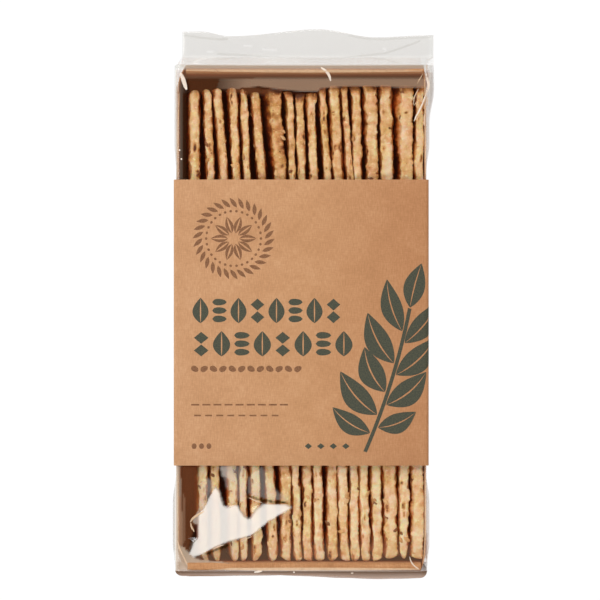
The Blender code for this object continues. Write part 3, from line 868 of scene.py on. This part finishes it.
def film_rings():
    """The film's rings, from the tucked end to the flap's free edge, as an array of
    (rings, around, 3), how milky the film is at each point and how brown, both carrying painted light as well.

    A ring is a rounded rectangle: its front in many columns, its sides and its back in
    few. At the tucked end the rings close in along a quarter ellipse; at the head they
    close down a slope to the flap, where front and back lie on each other.
    """
    middle, tall = (wrap_low[2] + wrap_high[2]) / 2, (wrap_high[2] - wrap_low[2]) / 2
    turn = np.linspace(*TUCK_TURN, TUCK_RINGS) * math.pi / 2
    run = np.concatenate([
        np.arange(tray_foot, sleeve_low[1] + UNDER_SLEEVE, FILM_STEP),
        np.linspace(sleeve_low[1] + FILM_HIDDEN, sleeve_high[1] - FILM_HIDDEN, HIDDEN_RINGS),
        np.arange(sleeve_high[1] - UNDER_SLEEVE, tray_head - HEAD_FREE, FILM_STEP), [tray_head]])
    slope = np.linspace(0, 1, SLOPE_RINGS + 1)[1:]
    fin = np.linspace(0, 1, FIN_RINGS + 1)[1:]
    counts = (len(turn), len(run), len(slope), len(fin))

    def stage(*values):
        """One value a ring, as a column, from a value for each of the four lengths."""
        return np.concatenate([np.broadcast_to(v, n) for v, n in zip(values, counts)])[:, None]

    y = stage(tray_foot, run, tray_head + SLOPE_RUN * slope, tray_head + SLOPE_RUN)
    out = stage(np.sin(turn) / np.sin(turn[0]), 0.0, 0.0, 0.0)
    keep = stage(np.cos(turn), 1.0, 1 - slope, 0.0)
    head = stage(0.0, 0.0, 1.0, 1.0)
    reach = stage(0.0, 0.0, 0.0, fin)
    fin_half = (FIN_RIGHT - FIN_LEFT) / 2
    middle_x = (1 - keep) * (head * (FIN_LEFT + FIN_RIGHT) / 2 + (1 - head) * TUCK_SHIFT)
    width = np.where(head > 0, fin_half + (WRAP_HALF - fin_half) * keep, WRAP_HALF - TUCK_CORNER * (1 - keep))
    high = np.where(head > 0, FIN_HEIGHT + FIN_GAP / 2 + (wrap_high[2] - FIN_HEIGHT) * keep, middle + tall * keep)
    low = np.where(head > 0, FIN_HEIGHT - FIN_GAP / 2 - (FIN_HEIGHT - wrap_low[2]) * keep, middle - tall * keep)
    left, right = (slack * keep for slack in side_slack(y))
    radius = np.minimum(WRAP_EDGE_RADIUS, 0.45 * (high - low))

    front = np.linspace(-1, 1, FILM_COLUMNS + 1)
    back = front[::-1][::FILM_COLUMNS // FILM_BACK_COLUMNS]
    side = np.linspace(0, 1, FILM_SIDE + 1)[1:-1]
    past = np.clip(np.abs(width * front) - (width - radius), 0, radius)
    edge = radius - np.sqrt(radius ** 2 - past ** 2)
    side_z = high - radius - (high - low - 2 * radius) * side
    swell = np.sin(math.pi * side ** 0.6)
    x = np.concatenate([width * front, width + right * swell, width * back, -width - left * swell[::-1]], axis=1)
    x = x + middle_x
    z = np.concatenate([high - edge, side_z, low + edge[:, ::-1][:, ::FILM_COLUMNS // FILM_BACK_COLUMNS],
                        side_z[:, ::-1]], axis=1)
    y = y - edge_reach(x, TUCK_AT, TUCK_REACH) * out
    y = y + (edge_reach(x, FIN_EDGE_AT, FIN_EDGE_REACH) - SLOPE_RUN) * reach
    y = y + facet_heights(TUCK_FACETS, [], x / MM, z / MM) * MM * out
    flat = np.flatnonzero((head == 0) & (keep == 1))
    count = FILM_COLUMNS + 1
    z[flat, :count] += front_relief(x[flat, :count], y[flat, :count])
    crumple = facet_heights(FIN_FACETS, [], x / MM, y / MM) * MM * smooth_step((y - tray_head) / CRUMPLE_RUN)
    z = z + head * crumple + FIN_RIPPLE * smooth_step(reach) * np.sin(2 * math.pi * x / FIN_RIPPLE_LENGTH)
    milk = stage(TUCK_MILK[0] - TUCK_MILK[1] * np.sin(turn), TRAY_MILK, SLOPE_MILK[0] + SLOPE_MILK[1] * slope,
                 FLAP_MILK) + 0 * x
    milk = milk + EAR_MILK * head * keep * smooth_step(x / WRAP_HALF)
    stain = stage(TUCK_STAIN[0] - TUCK_STAIN[1] * np.sin(turn) ** 0.7, 0.0, FLAP_STAIN, FLAP_STAIN) + 0 * x
    over_side = smooth_step((np.abs(x) - SIDE_STARTS) / SIDE_FADE) * (keep == 1) * (head == 0)
    milk = milk + SIDE_HAZE * over_side
    stain = stain + over_side * np.interp(x, (0.0, WRAP_HALF, WRAP_HALF + SIDE_RUN), SIDE_STAIN)
    # painted reflections, painted light and shade and painted shadows on the front, added to the milk and its colour
    haze_and_painted_light, tone = film_haze_and_painted_light(x[flat, :count], y[flat, :count])
    milk[flat, :count] += haze_and_painted_light
    stain[flat, :count] += tone
    # the flap, with most of the slope, since the seal's edge runs a little way down it
    flap = slice(-FIN_RINGS - 7, None)
    for at_x, at_y, strength in FIN_LINES:
        fx, fy = x[flap, :count] / MM, y[flap, :count] / MM
        near = np.exp(-((fy - np.interp(fx, at_x, at_y)) / FIN_LINE) ** 2) * (fx > at_x[0]) * (fx < at_x[-1])
        milk[flap, :count] += strength * near
    return np.stack([x, y, z], axis=-1), milk, stain


def film_faces(rings, around):
    """The film's quads, and strips that join its front to its back at the tucked end and
    at the flap's edge, where one cell of the back spans several of the front."""
    faces = grid_faces(rings, around)
    step = FILM_COLUMNS // FILM_BACK_COLUMNS
    back = FILM_COLUMNS + 1 + FILM_SIDE - 1
    side = FILM_SIDE - 1
    for first, flip in ((0, False), ((rings - 1) * around, True)):
        for cell in range(FILM_BACK_COLUMNS):
            face = [first + cell * step + i for i in range(step, -1, -1)]
            lower = [first + back + FILM_BACK_COLUMNS - cell - i for i in (0, 1)]
            if cell == 0:
                face += [first + around - 1 - i for i in range(side)]
            face += lower
            if cell == FILM_BACK_COLUMNS - 1:
                face += [first + FILM_COLUMNS + side - i for i in range(side)]
            faces.append(face[::-1] if flip else face)
    return faces


CLEAR_FILM = (0.985, 0.985, 0.98, 1.0)
# the milky film's colours, by stain: grey at the flap, white at the patch as a painted
# reflection, then browner, the kraft of the tucked end in painted shade, and at last the dark of a painted shadow
# along a fold
FILM_TONES = ((0.0, "#7E7C74"), (0.1, "#ACB0A4"), (0.25, "#FBF8F2"), (0.38, "#CFBDA8"), (0.5, "#D6AC8C"),
              (0.75, "#8E5838"), (0.86, "#C28E62"), (1.0, "#3E2C14"))


def clear_film():
    """Biaxially drawn polypropylene film: thin, clear and glossy, so it shows mainly by
    what it mirrors at creases and at grazing angles. Where it is gathered and sealed in
    several layers it goes milky, as the attribute milk says, and brownish from the board
    just behind it, as the attribute stain says; both also carry painted light: painted
    reflections, milk that lifts shaded gaps, the board in shade at the tuck and painted
    shadows along folds."""
    material, add = new_material("polypropylene film")
    milk, stain = (add("Attribute", output="Fac", attribute_name=name) for name in ("milk", "stain"))
    clear = add("BsdfTransparent", {"Color": CLEAR_FILM})
    milky = add("BsdfDiffuse", {"Color": add("ValToRGB", {"Fac": stain}, stops=FILM_TONES)})
    body = add("MixShader", {0: milk, 1: clear, 2: milky})
    facing = add("LayerWeight", {"Blend": 0.5}, "Facing")
    shine = add("MapRange", {"Value": add("Math", {0: facing, 1: 4.0}, operation="POWER"),
                             "To Min": 0.055, "To Max": 0.85})
    dulled = add("MapRange", {"Value": stain, "From Min": 0.4, "From Max": 0.8, "To Min": 1.0, "To Max": 0.08})
    shine = add("Math", {0: shine, 1: dulled}, operation="MULTIPLY")
    tucked = add("MapRange", {"Value": stain, "From Min": 0.80, "From Max": 0.86, "To Max": 0.02})
    shine = add("Math", {0: shine, 1: tucked}, operation="ADD")
    gloss = add("BsdfAnisotropic", {"Color": (1.0, 1.0, 1.0, 1.0), "Roughness": 0.06})
    add("OutputMaterial", {"Surface": add("MixShader", {0: shine, 1: body, 2: gloss})})
    return material


points, milk, stain = film_rings()
film_wrap = mesh_piece("film_wrap", points, film_faces(*points.shape[:2]), clear_film(), 180, milk=milk, stain=stain)
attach(film_wrap, "root")
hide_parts("clear_wrap")


# Film pleats
# Sharp creases where the film is gathered over a corner or pulled tight across the tray:
# the doubled film stands up as a thin ridge, coloured white or cream as a painted highlight.

PLEAT_HEIGHT = 0.14 * MM
PLEAT_LIFT = 0.02 * MM
# each one's width in mm, how white its painted highlight is, and the places that it runs through, in mm
PLEATS = (
    (0.95, 1.00, ((43.9, 86.0), (44.2, 84.6), (44.7, 83.2), (44.9, 82.0), (44.7, 80.6), (44.1, 79.0))),
    (0.62, 0.85, ((44.7, 81.3), (44.2, 79.5), (43.3, 76.8), (42.5, 74.7), (41.2, 72.0), (40.4, 70.7), (39.8, 69.1))),
    (0.30, 0.55, ((42.8, 85.8), (42.2, 84.6), (41.5, 83.5), (40.9, 82.3))),
    (0.36, 0.62, ((41.4, 80.6), (40.8, 79.5), (40.0, 77.8), (39.7, 76.5), (39.6, 74.9))),
    (0.28, 0.52, ((39.7, 74.6), (40.4, 75.5), (41.0, 76.3))),
    (0.26, 0.50, ((41.0, 76.3), (41.4, 75.6), (41.5, 74.9))),
    (0.30, 0.55, ((40.4, 70.4), (41.0, 71.2), (41.7, 72.1))),
    (0.30, 0.55, ((39.9, 69.4), (40.7, 70.0), (41.5, 70.9))),
    (0.36, 0.45, ((44.2, 78.1), (44.4, 76.5), (44.5, 74.6))),
    (0.55, 0.60, ((43.4, 71.7), (43.4, 69.5), (43.3, 67.4))),
    (1.50, 1.0, ((-42.6, 86.2), (-41.7, 84.2), (-41.1, 82.2), (-40.4, 80.2))),
    (1.00, 0.9, ((7.0, 88.0), (8.7, 86.75), (9.8, 85.3), (10.4, 83.2))),
    (0.50, 0.8, ((38.2, -84.4), (38.8, -86.2), (40.0, -87.7), (41.6, -88.8))),
    (0.60, 1.0, ((-42.9, 59.2), (-42.8, 58.6))),
    (0.60, 1.0, ((-42.3, 56.1), (-42.1, 55.4))),
    (0.35, 0.7, ((-31.1, -81.8), (-29.3, -80.9), (-27.2, -80.2))),
    (0.35, 0.6, ((-21.6, -79.0), (-19.5, -78.1), (-17.3, -77.2))),
    (0.35, 0.7, ((-18.4, -63.5), (-16.3, -64.6), (-13.8, -65.3))),
    # painted highlights along the inner edges of the rims, where the film is bent over the rolled board
    (0.95, 0.40, ((-40.6, 87.0), (-20.0, 86.8), (0.0, 86.7), (20.0, 86.7), (42.6, 86.8))),
    (1.05, 0.55, ((-39.0, -88.5), (-20.0, -88.7), (0.0, -88.7), (20.0, -88.7), (41.6, -88.7))),
    # painted highlights along the cut edges of the long walls
    (0.40, 0.40, ((43.5, 84.0), (43.6, 76.0), (43.6, 68.0))),
    (0.40, 0.45, ((43.6, 68.0), (43.7, 62.0), (43.7, 56.0), (43.7, 50.0))),
    (0.40, 0.45, ((43.7, -55.0), (43.7, -65.0), (43.7, -76.0), (43.1, -86.0))),
    (0.40, 0.35, ((-42.9, 79.0), (-43.3, 70.0), (-43.4, 60.0), (-43.4, 50.0))),
    (0.40, 0.35, ((-43.4, -55.0), (-43.4, -64.0), (-43.4, -72.0), (-43.3, -79.0))),
    # the hook beside the patch, and dots where the tuck is pinched, painted as glints
    (0.80, 0.55, ((-34.2, -68.4), (-36.4, -69.6), (-38.2, -70.9), (-39.1, -72.2))),
    (0.60, 0.55, ((-39.0, -72.4), (-38.6, -74.0), (-37.7, -75.6))),
    (0.70, 0.90, ((-16.6, -89.8), (-13.8, -89.4))),
    (0.45, 0.80, ((-2.9, -89.8), (-2.2, -89.8))),
    (0.45, 0.80, ((17.5, -90.1), (18.4, -90.1))),
    # down the left corner at the foot
    (0.60, 0.6, ((-43.6, -78.6), (-42.8, -81.6), (-41.4, -84.6), (-39.8, -87.9))),
)


PLEAT_STEPS = 8


def pleat_path(places):
    """A smooth path through places: a cubic between each two, whose slope at a place is
    half the way from the one before to the one after."""
    at = np.array(places)
    wide = np.concatenate([[2 * at[0] - at[1]], at, [2 * at[-1] - at[-2]]])
    t = np.linspace(0, 1, PLEAT_STEPS + 1)[:-1, None]
    cubics = [0.5 * (2 * b + (c - a) * t + (2 * a - 5 * b + 4 * c - d) * t ** 2 + (3 * b - a - 3 * c + d) * t ** 3)
              for a, b, c, d in zip(wide, wide[1:], wide[2:], wide[3:])]
    return np.concatenate([*cubics, at[-1:]])


def pleat_shell(width, places):
    """One ridge: a low half ellipse, carried along its path at the height of the film,
    whose width and height go as the square root of a half sine along it."""
    path = pleat_path(places) * MM
    ahead = np.gradient(path, axis=0)
    ahead /= np.linalg.norm(ahead, axis=1, keepdims=True)
    taper = np.sqrt(np.sin(np.linspace(0.03, 0.97, len(path)) * math.pi))
    turn = np.linspace(0, math.pi, 6)
    across = np.concatenate([np.cos(turn), [-0.5, 0.5]]) * width * MM / 2
    up = np.concatenate([np.sin(turn) * PLEAT_HEIGHT, [0.0, 0.0]])
    past = np.clip(np.abs(path[:, 0]) - (WRAP_HALF - WRAP_EDGE_RADIUS), 0, WRAP_EDGE_RADIUS)
    below = front_relief(path[:, :1], path[:, 1:])[:, 0]
    below = below - WRAP_EDGE_RADIUS + np.sqrt(WRAP_EDGE_RADIUS ** 2 - past ** 2)
    stations = [((*p, wrap_high[2] + h + PLEAT_LIFT), (a[1] * k, -a[0] * k, 0.0), (0.0, 0.0, k))
                for p, a, k, h in zip(path, ahead, taper, np.minimum(below, 0.0))]
    return swept_bar(np.stack([across, up], axis=1), stations)


HIGHLIGHT_BREAK = 2.5 * MM


def crease_with_painted_highlight():
    """Film creased sharply, shown satin and cream instead of clear as the attribute white
    says: partly the whitening of the bent polymer, partly a painted highlight along the crease."""
    material, add = new_material("creased film with painted highlight")
    white = add("Attribute", output="Fac", attribute_name="white")
    clear = add("BsdfTransparent", {"Color": CLEAR_FILM})
    # painted highlight colours: warm cream where faint, near white where strong
    tone = add("ValToRGB", {"Fac": white}, stops=((0.5, "#FFE0B8"), (0.9, "#FFF6EA")))
    crease = add("BsdfPrincipled", {"Base Color": tone, "Roughness": 0.3, "IOR": 1.5})
    place = add("TexCoord", output="Object")
    uneven = add("TexNoise", {"Vector": place, "Scale": 1 / HIGHLIGHT_BREAK, "Detail": 2.0, "Roughness": 0.6})
    uneven = add("MapRange", {"Value": uneven, "From Min": 0.30, "From Max": 0.62, "To Min": 0.75})
    broken = add("Math", {0: white, 1: uneven}, operation="MULTIPLY")
    add("OutputMaterial", {"Surface": add("MixShader", {0: broken, 1: clear, 2: crease})})
    return material


pleats = [pleat_shell(width, places) for width, _, places in PLEATS]
white = np.concatenate([np.full(len(points), white) for (points, _), (_, white, _) in zip(pleats, PLEATS)])
film_pleats = mesh_piece("film_pleats", *joined(pleats), crease_with_painted_highlight(), 60, white=white)
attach(film_pleats, "root")
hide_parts("clear_wrap")


# Kraft card sleeve
# A band of half-millimetre kraft board, scored at four folds, wrapped round the film and
# glued with a lap on its underside. It is cut clean at both ends.

FOLD_RADIUS = 1.2 * MM
SLEEVE_BOARD = 0.5 * MM
INK = 0.025 * MM
LAP_EDGE = 24.0 * MM
LAP_STEP = 0.3 * MM
sleeve_half = (sleeve_high[0] - sleeve_low[0]) / 2 - INK
sleeve_top = sleeve_high[2] - INK


def sleeve_shell():
    """A tube of board: the rounded rectangle of its cross-section, carried along Y on the
    outside and back on the inside, so that the grid closes both ways. On the underside
    the outline steps in where the lap's edge runs."""
    outside = rounded_outline(2 * sleeve_half, sleeve_top, FOLD_RADIUS, 5)
    inside = SLEEVE_BOARD + rounded_outline(2 * (sleeve_half - SLEEVE_BOARD), sleeve_top - 2 * SLEEVE_BOARD,
                                            FOLD_RADIUS - SLEEVE_BOARD, 5)
    corner = len(outside) * 3 // 4
    lap = np.array(((3.0 * MM, LAP_STEP), (LAP_EDGE, LAP_STEP), (LAP_EDGE, 0.0)))
    outside = np.concatenate([outside, lap])
    inside = np.concatenate([inside, lap * (1, 0) + (0, LAP_STEP + SLEEVE_BOARD)])
    y0, y1 = sleeve_low[1], sleeve_high[1]
    along = np.linspace(y0 + 0.1 * MM, y1 - 0.1 * MM, 12)
    rows = [(0.0, y) for y in along] + [(share, y1) for share in (0.1, 0.5, 0.9)]
    rows += [(1.0, y) for y in along[::-1]] + [(share, y0) for share in (0.9, 0.5, 0.1)]
    grid = [np.insert(outside + (inside - outside) * share, 1, y, axis=1) for share, y in rows]
    return np.array(grid) - (sleeve_half, 0, 0), grid_faces(len(rows), len(outside), close_rows=True)


# painted shade: the sleeve's board is darkened and warmed towards the right, where less light falls
sleeve_board = kraft_board("kraft board of sleeve", "#B98A5F", "#CB9A6F", "#DAAE86", 0.7, "X", sleeve_low[0],
                           sleeve_high[0], ((0.0, "#FBFDFF"), (0.5, "#FBFBF8"), (0.92, "#EFE5DC")))
kraft_sleeve = mesh_piece("kraft_sleeve", *sleeve_shell(), sleeve_board)
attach(kraft_sleeve, "root")
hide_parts("card_sleeve")


# Print on the sleeve
# Two inks laid on the kraft by flexography, dark green and brown: a rosette, two rows of
# bold ornament, a row of seeds, dashed rules, dots, diamonds, and a sprig over the fold.

GREEN_LAYERS, BROWN_LAYERS = [], []
PROFILES = {
    "leaf": lambda t: np.sin(math.pi * t) ** 0.85 * (1.2 - 0.4 * t),
    "seed": lambda t: np.sqrt(np.clip(1 - (2 * t - 1) ** 2, 0, 1)) * (1.15 - 0.3 * t),
    "oval": lambda t: np.sqrt(np.clip(1 - (2 * t - 1) ** 2, 0, 1)),
    "diamond": lambda t: 1 - np.abs(2 * t - 1),
    "bar": lambda t: np.ones_like(t),
}


def on_sleeve(u, v, lift):
    """A place on the sleeve's front, u across and v along from its middle, at a height
    above the board. Past the flat part, u runs round the fold and down the side."""
    flat = sleeve_half - FOLD_RADIUS
    over = np.abs(u) - flat
    turn = np.clip(over / FOLD_RADIUS, 0, math.pi / 2)
    down = np.clip(over - FOLD_RADIUS * math.pi / 2, 0, None)
    x = np.sign(u) * (np.minimum(np.abs(u), flat) + (FOLD_RADIUS + lift) * np.sin(turn))
    z = sleeve_top - FOLD_RADIUS + (FOLD_RADIUS + lift) * np.cos(turn) - down
    return np.stack([x, v - SLEEVE_BELOW_TRAY_MIDDLE + 0 * x, z], axis=-1)


def print_shape(layers, start, end, width, profile="leaf", bend=0.0, part=(-1.0, 1.0)):
    """Prints one long shape from start to end, in mm on the sleeve's front: a thin closed
    shell of ink. Its half width at t is width / 2 times the profile, its middle line is
    pushed sideways by bend * 4t(1 - t), and part is how much of its width is inked."""
    start, end = np.array(start), np.array(end)
    length = np.linalg.norm(end - start)
    steps = int(np.clip(length / 0.6, 8, 36))
    t = np.linspace(0, 1, steps + 1)[:, None]
    heading = (end - start) / length
    sideways = np.array((-heading[1], heading[0]))
    half = np.maximum(PROFILES[profile](t) * width / 2, 0.02)
    cells = int(np.clip(width / 1.2, 2, 8))
    share = np.linspace(part[0], part[1], cells + 1)[None, :]
    offset = half * share + bend * 4 * t * (1 - t)
    u = start[0] + heading[0] * length * t + sideways[0] * offset
    v = start[1] + heading[1] * length * t + sideways[1] * offset
    top, bottom = (on_sleeve(u * MM, v * MM, lift).reshape(-1, 3) for lift in (INK, -INK))
    point = np.arange(len(top)).reshape(steps + 1, cells + 1)
    a, b, c, d = point[:-1, :-1], point[:-1, 1:], point[1:, 1:], point[1:, :-1]
    faces = np.stack([a, d, c, b, len(top) + a, len(top) + b, len(top) + c, len(top) + d], axis=-1).reshape(-1, 4)
    rim = np.concatenate([point[:-1, 0], point[-1, :-1], point[:0:-1, -1], point[0, :0:-1]])
    ahead = np.roll(rim, -1)
    edge = np.stack([rim, len(top) + rim, len(top) + ahead, ahead], axis=-1)
    layers.append((np.concatenate([top, bottom]), np.concatenate([faces, edge]).tolist()))


def split_leaf(layers, start, end, width, bend=0.0, vein=0.09):
    """A leaf with its midrib left bare: two halves with a slit between them."""
    for part in ((-1.0, -vein), (vein, 1.0)):
        print_shape(layers, start, end, width, "leaf", bend, part)


# the rosette's petals, dots and slanted leaves: the radii between which each runs, and its
# width, in mm, and how far the tip of a leaf is turned on
PETALS, DOTS = 10, 30
PETAL, DOT, WREATH_LEAF = (2.0, 8.0, 2.7), (9.2, 10.1, 0.95), (11.0, 14.4, 1.45)
WREATH_TURN = 0.2


def print_rosette(x, y):
    """A rosette of ten petals, a ring of dots round it and a wreath of slanted leaves."""

    def ends(turn, mark, further=0.0):
        """Both ends of a mark and its width."""
        near, far, width = mark
        return ((x + near * math.cos(turn), y + near * math.sin(turn)),
                (x + far * math.cos(turn + further), y + far * math.sin(turn + further)), width)

    for i in range(PETALS):
        split_leaf(BROWN_LAYERS, *ends(2 * math.pi * i / PETALS, PETAL), vein=0.22)
    for i in range(DOTS):
        turn = 2 * math.pi * i / DOTS
        print_shape(BROWN_LAYERS, *ends(turn, DOT), "oval")
        print_shape(BROWN_LAYERS, *ends(turn, WREATH_LEAF, WREATH_TURN), "leaf")


# how much a motif takes of its share of a row's length, and of its height
LEAF_WIDE, DIAMOND_WIDE, SEED_WIDE = 0.84, 0.72, 0.76
DIAMOND_TALL, SEED_TALL = 0.94, 0.26


def print_row(left, right, low, high, motifs):
    """A row of bold motifs of equal width: a split leaf, two diamonds or three seeds."""
    pitch = (right - left) / len(motifs)
    tall = high - low
    for i, motif in enumerate(motifs):
        x = left + pitch * (i + 0.5)
        if motif == "leaf":
            split_leaf(GREEN_LAYERS, (x, low), (x, high), pitch * LEAF_WIDE, vein=0.08)
        for k in range(2 if motif == "diamonds" else 0):
            ends = [(x, low + tall * part / 2) for part in (k, k + DIAMOND_TALL)]
            print_shape(GREEN_LAYERS, *ends, pitch * DIAMOND_WIDE, "diamond")
        for k in range(3 if motif == "seeds" else 0):
            ends = [(x + side * pitch * SEED_WIDE / 2, low + tall * (k + 0.5) / 3) for side in (-1, 1)]
            print_shape(GREEN_LAYERS, *ends, tall * SEED_TALL, "seed")


print_rosette(-23.8, 29.6)
print_row(-38.8, 14.7, -0.2, 8.7, ("leaf", "seeds", "leaf", "diamonds", "leaf", "seeds", "leaf", "diamonds"))
print_row(-38.8, 18.6, -11.9, -3.0, ("diamonds", "leaf", "seeds", "leaf", "diamonds", "leaf", "seeds", "leaf"))
for i in range(12):
    tilt = 0.7 if i % 2 else -0.7
    print_shape(BROWN_LAYERS, (-38.7 + 3.3 * i, -16.3 - tilt), (-36.2 + 3.3 * i, -16.3 + tilt), 2.0, "seed")
for row, (low, dashes) in enumerate(((-28.9, 9), (-32.7, 8))):
    for i in range(dashes):
        print_shape(BROWN_LAYERS, (-38.7 + 3.9 * i + row, low), (-35.9 + 3.9 * i + row * 0.6, low), 0.55, "bar")
for i in range(3):
    print_shape(BROWN_LAYERS, (-38.6 + 2.6 * i, -43.5), (-36.8 + 2.6 * i, -43.5), 2.0, "oval")

SPRIG_FOOT, SPRIG_TIP, SPRIG_BEND = np.array((22.5, -45.5)), np.array((38.2, 5.0)), -1.4
STEM_WIDTH = 1.3
# how far up the stem each leaf sits, on which side, where it points, its width and its bend
SPRIG_LEAVES = (
    (0.13, -1, (11.0, -29.8), 7.0, 1.3), (0.26, -1, (13.8, -17.2), 8.6, 1.6), (0.42, -1, (22.3, -8.6), 8.8, 1.6),
    (0.62, -1, (23.4, 3.4), 8.6, 1.5), (0.84, -1, (30.2, 15.2), 7.4, 1.2),
    (0.18, 1, (40.4, -31.4), 7.0, -1.3), (0.34, 1, (44.0, -17.4), 8.6, -1.6), (0.55, 1, (47.4, -5.2), 8.4, -1.5),
    (0.77, 1, (48.6, 7.6), 7.6, -1.2), (1.0, 0, (42.4, 20.8), 7.4, 0.4),
)


def beside_stem(share, side):
    """A place just off the stem, at a share of its length, on one side of it."""
    heading = (SPRIG_TIP - SPRIG_FOOT) / np.linalg.norm(SPRIG_TIP - SPRIG_FOOT)
    sideways = np.array((-heading[1], heading[0]))
    off = SPRIG_BEND * 4 * share * (1 - share) - side * (STEM_WIDTH / 2 + 0.3)
    return SPRIG_FOOT + (SPRIG_TIP - SPRIG_FOOT) * share + sideways * off + heading * (0.3 if side == 0 else 0)


print_shape(GREEN_LAYERS, SPRIG_FOOT, SPRIG_TIP, STEM_WIDTH, "bar", SPRIG_BEND)
for share, side, end, width, bend in SPRIG_LEAVES:
    split_leaf(GREEN_LAYERS, beside_stem(share, side), end, width, bend, vein=0.06)
for i in range(4):
    print_shape(GREEN_LAYERS, (1.2 + 4.4 * i, -43.5), (3.8 + 4.4 * i, -43.5), 2.1, "diamond")

RUB = 0.5 * MM


def flexo_ink(name, ink, board):
    """Water-based flexographic ink on uncoated board: matt, and slightly rubbed, so that
    the board's brown comes through it in specks."""
    material, add = new_material(name)
    place = add("TexCoord", output="Object")
    worn = add("TexNoise", {"Vector": place, "Scale": 1 / RUB, "Detail": 4.0, "Roughness": 0.7})
    worn = add("MapRange", {"Value": worn, "From Min": 0.35, "From Max": 0.8})
    colour = add("ValToRGB", {"Fac": worn}, stops=((0.0, ink), (1.0, board)))
    add("OutputMaterial", {"Surface": add("BsdfPrincipled", {"Base Color": colour, "Roughness": 0.65, "IOR": 1.45})})
    return material


for name, layers, ink, board in (("green_print", GREEN_LAYERS, "#323D35", "#605F48"),
                                 ("brown_print", BROWN_LAYERS, "#704A2E", "#A87A54")):
    ink_piece = mesh_piece(name, *joined(layers), flexo_ink(name.replace("_", " ") + " ink", ink, board))
    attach(ink_piece, "root")
    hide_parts("card_sleeve")


# Stage
# A back-lit white table and a white tent that is dimmer towards the horizon and has a dark
# warm opening round the camera. One big key light at the upper left, a softer one from the
# foot, a window overhead that the film mirrors, and the camera straight above.

table_half, table_top = 3.0, -0.2 * MM
acrylic, add = new_material("back-lit acrylic table")
glow = add("BsdfPrincipled", {"Base Color": (0.02, 0.02, 0.02, 1.0), "Roughness": 0.9,
                              "Emission Color": (1.0, 1.0, 1.0, 1.0), "Emission Strength": 1.0})
add("OutputMaterial", {"Surface": glow})
corners = [(x * table_half, y * table_half, table_top) for x, y in ((-1, -1), (1, -1), (1, 1), (-1, 1))]
table = mesh_piece("table", corners, [[0, 1, 2, 3]], acrylic)

CAMERA_AT = Vector((-0.43 * MM, 6.1 * MM, 1.142))
FRAME_WIDTH = 0.2112
SENSOR = 36.0


def area_light(name, place, target, size, radiance):
    """A rectangular light at a place, measured from the tray's middle, facing a target,
    whose face shines with a radiance."""
    data = bpy.data.lights.new(name, "AREA")
    data.shape = "RECTANGLE"
    data.size, data.size_y = size
    data.energy = radiance * size[0] * size[1] * math.pi
    lamp = bpy.data.objects.new(name, data)
    lamp.location = Vector(place) + Vector(TRAY_MIDDLE)
    lamp.rotation_euler = (Vector(target) - Vector(place)).to_track_quat("-Z", "Y").to_euler()
    bpy.context.scene.collection.objects.link(lamp)


area_light("small_window", (-0.1128, -0.2294, 1.142), (-0.1128, -0.2294, 0), (0.103, 0.081), 5.2)
area_light("key", (-0.50, 0.42, 0.80), (0.0, 0.0, 0.04), (0.66, 0.66), 3.3)
area_light("foot_strip", (-0.10, -0.45, 1.05), (0.0, 0.0, 0.04), (0.36, 0.30), 7.6)

world = bpy.data.worlds.new("tent")
bpy.context.scene.world = world
world.use_nodes = True
world.node_tree.nodes.clear()
add = partial(add_node, world.node_tree)
heading = add("TexCoord", output="Generated")
across, along, up = (add("SeparateXYZ", {0: heading}, axis) for axis in "XYZ")
opening = add("MapRange", {"Value": up, "From Min": 0.88, "From Max": 0.94, "To Min": 1.0, "To Max": 0.22})
rise = add("MapRange", {"Value": up, "From Max": 0.7, "To Min": 0.36, "To Max": 0.68})
ends = add("MapRange", {"Value": along, "From Min": -0.8, "From Max": 0.8, "To Min": 0.78, "To Max": 1.25})
warmth = add("MapRange", {"Value": across, "From Min": -0.8, "From Max": 0.8})
warmth = add("ValToRGB", {"Fac": warmth}, stops=((0.0, "#FFFFFF"), (1.0, "#F2DCC4")))
amber = add("ValToRGB", {"Fac": up}, stops=((0.88, "#FFFFFF"), (0.94, "#FF7A20")))
tone = add("Mix", {"Factor": 1.0, "A": warmth, "B": amber}, "Result", **MULTIPLY)
strength = add("Math", {0: rise, 1: ends}, operation="MULTIPLY")
strength = add("Math", {0: opening, 1: strength}, operation="MULTIPLY")
lit = add("Background", {"Color": tone, "Strength": strength})
white = add("Background", {"Color": (1.0, 1.0, 1.0, 1.0), "Strength": 1.0})
seen = add("LightPath", output="Is Camera Ray")
add("OutputWorld", {"Surface": add("MixShader", {0: seen, 1: lit, 2: white})})

camera_data = bpy.data.cameras.new("camera")
camera_data.sensor_width = SENSOR
camera_data.lens = SENSOR * (CAMERA_AT.z - sleeve_high[2]) / FRAME_WIDTH
camera = bpy.data.objects.new("camera", camera_data)
camera.location = CAMERA_AT + Vector(TRAY_MIDDLE)
bpy.context.scene.collection.objects.link(camera)
bpy.context.scene.camera = camera
bpy.context.scene.view_settings.view_transform = "Standard"
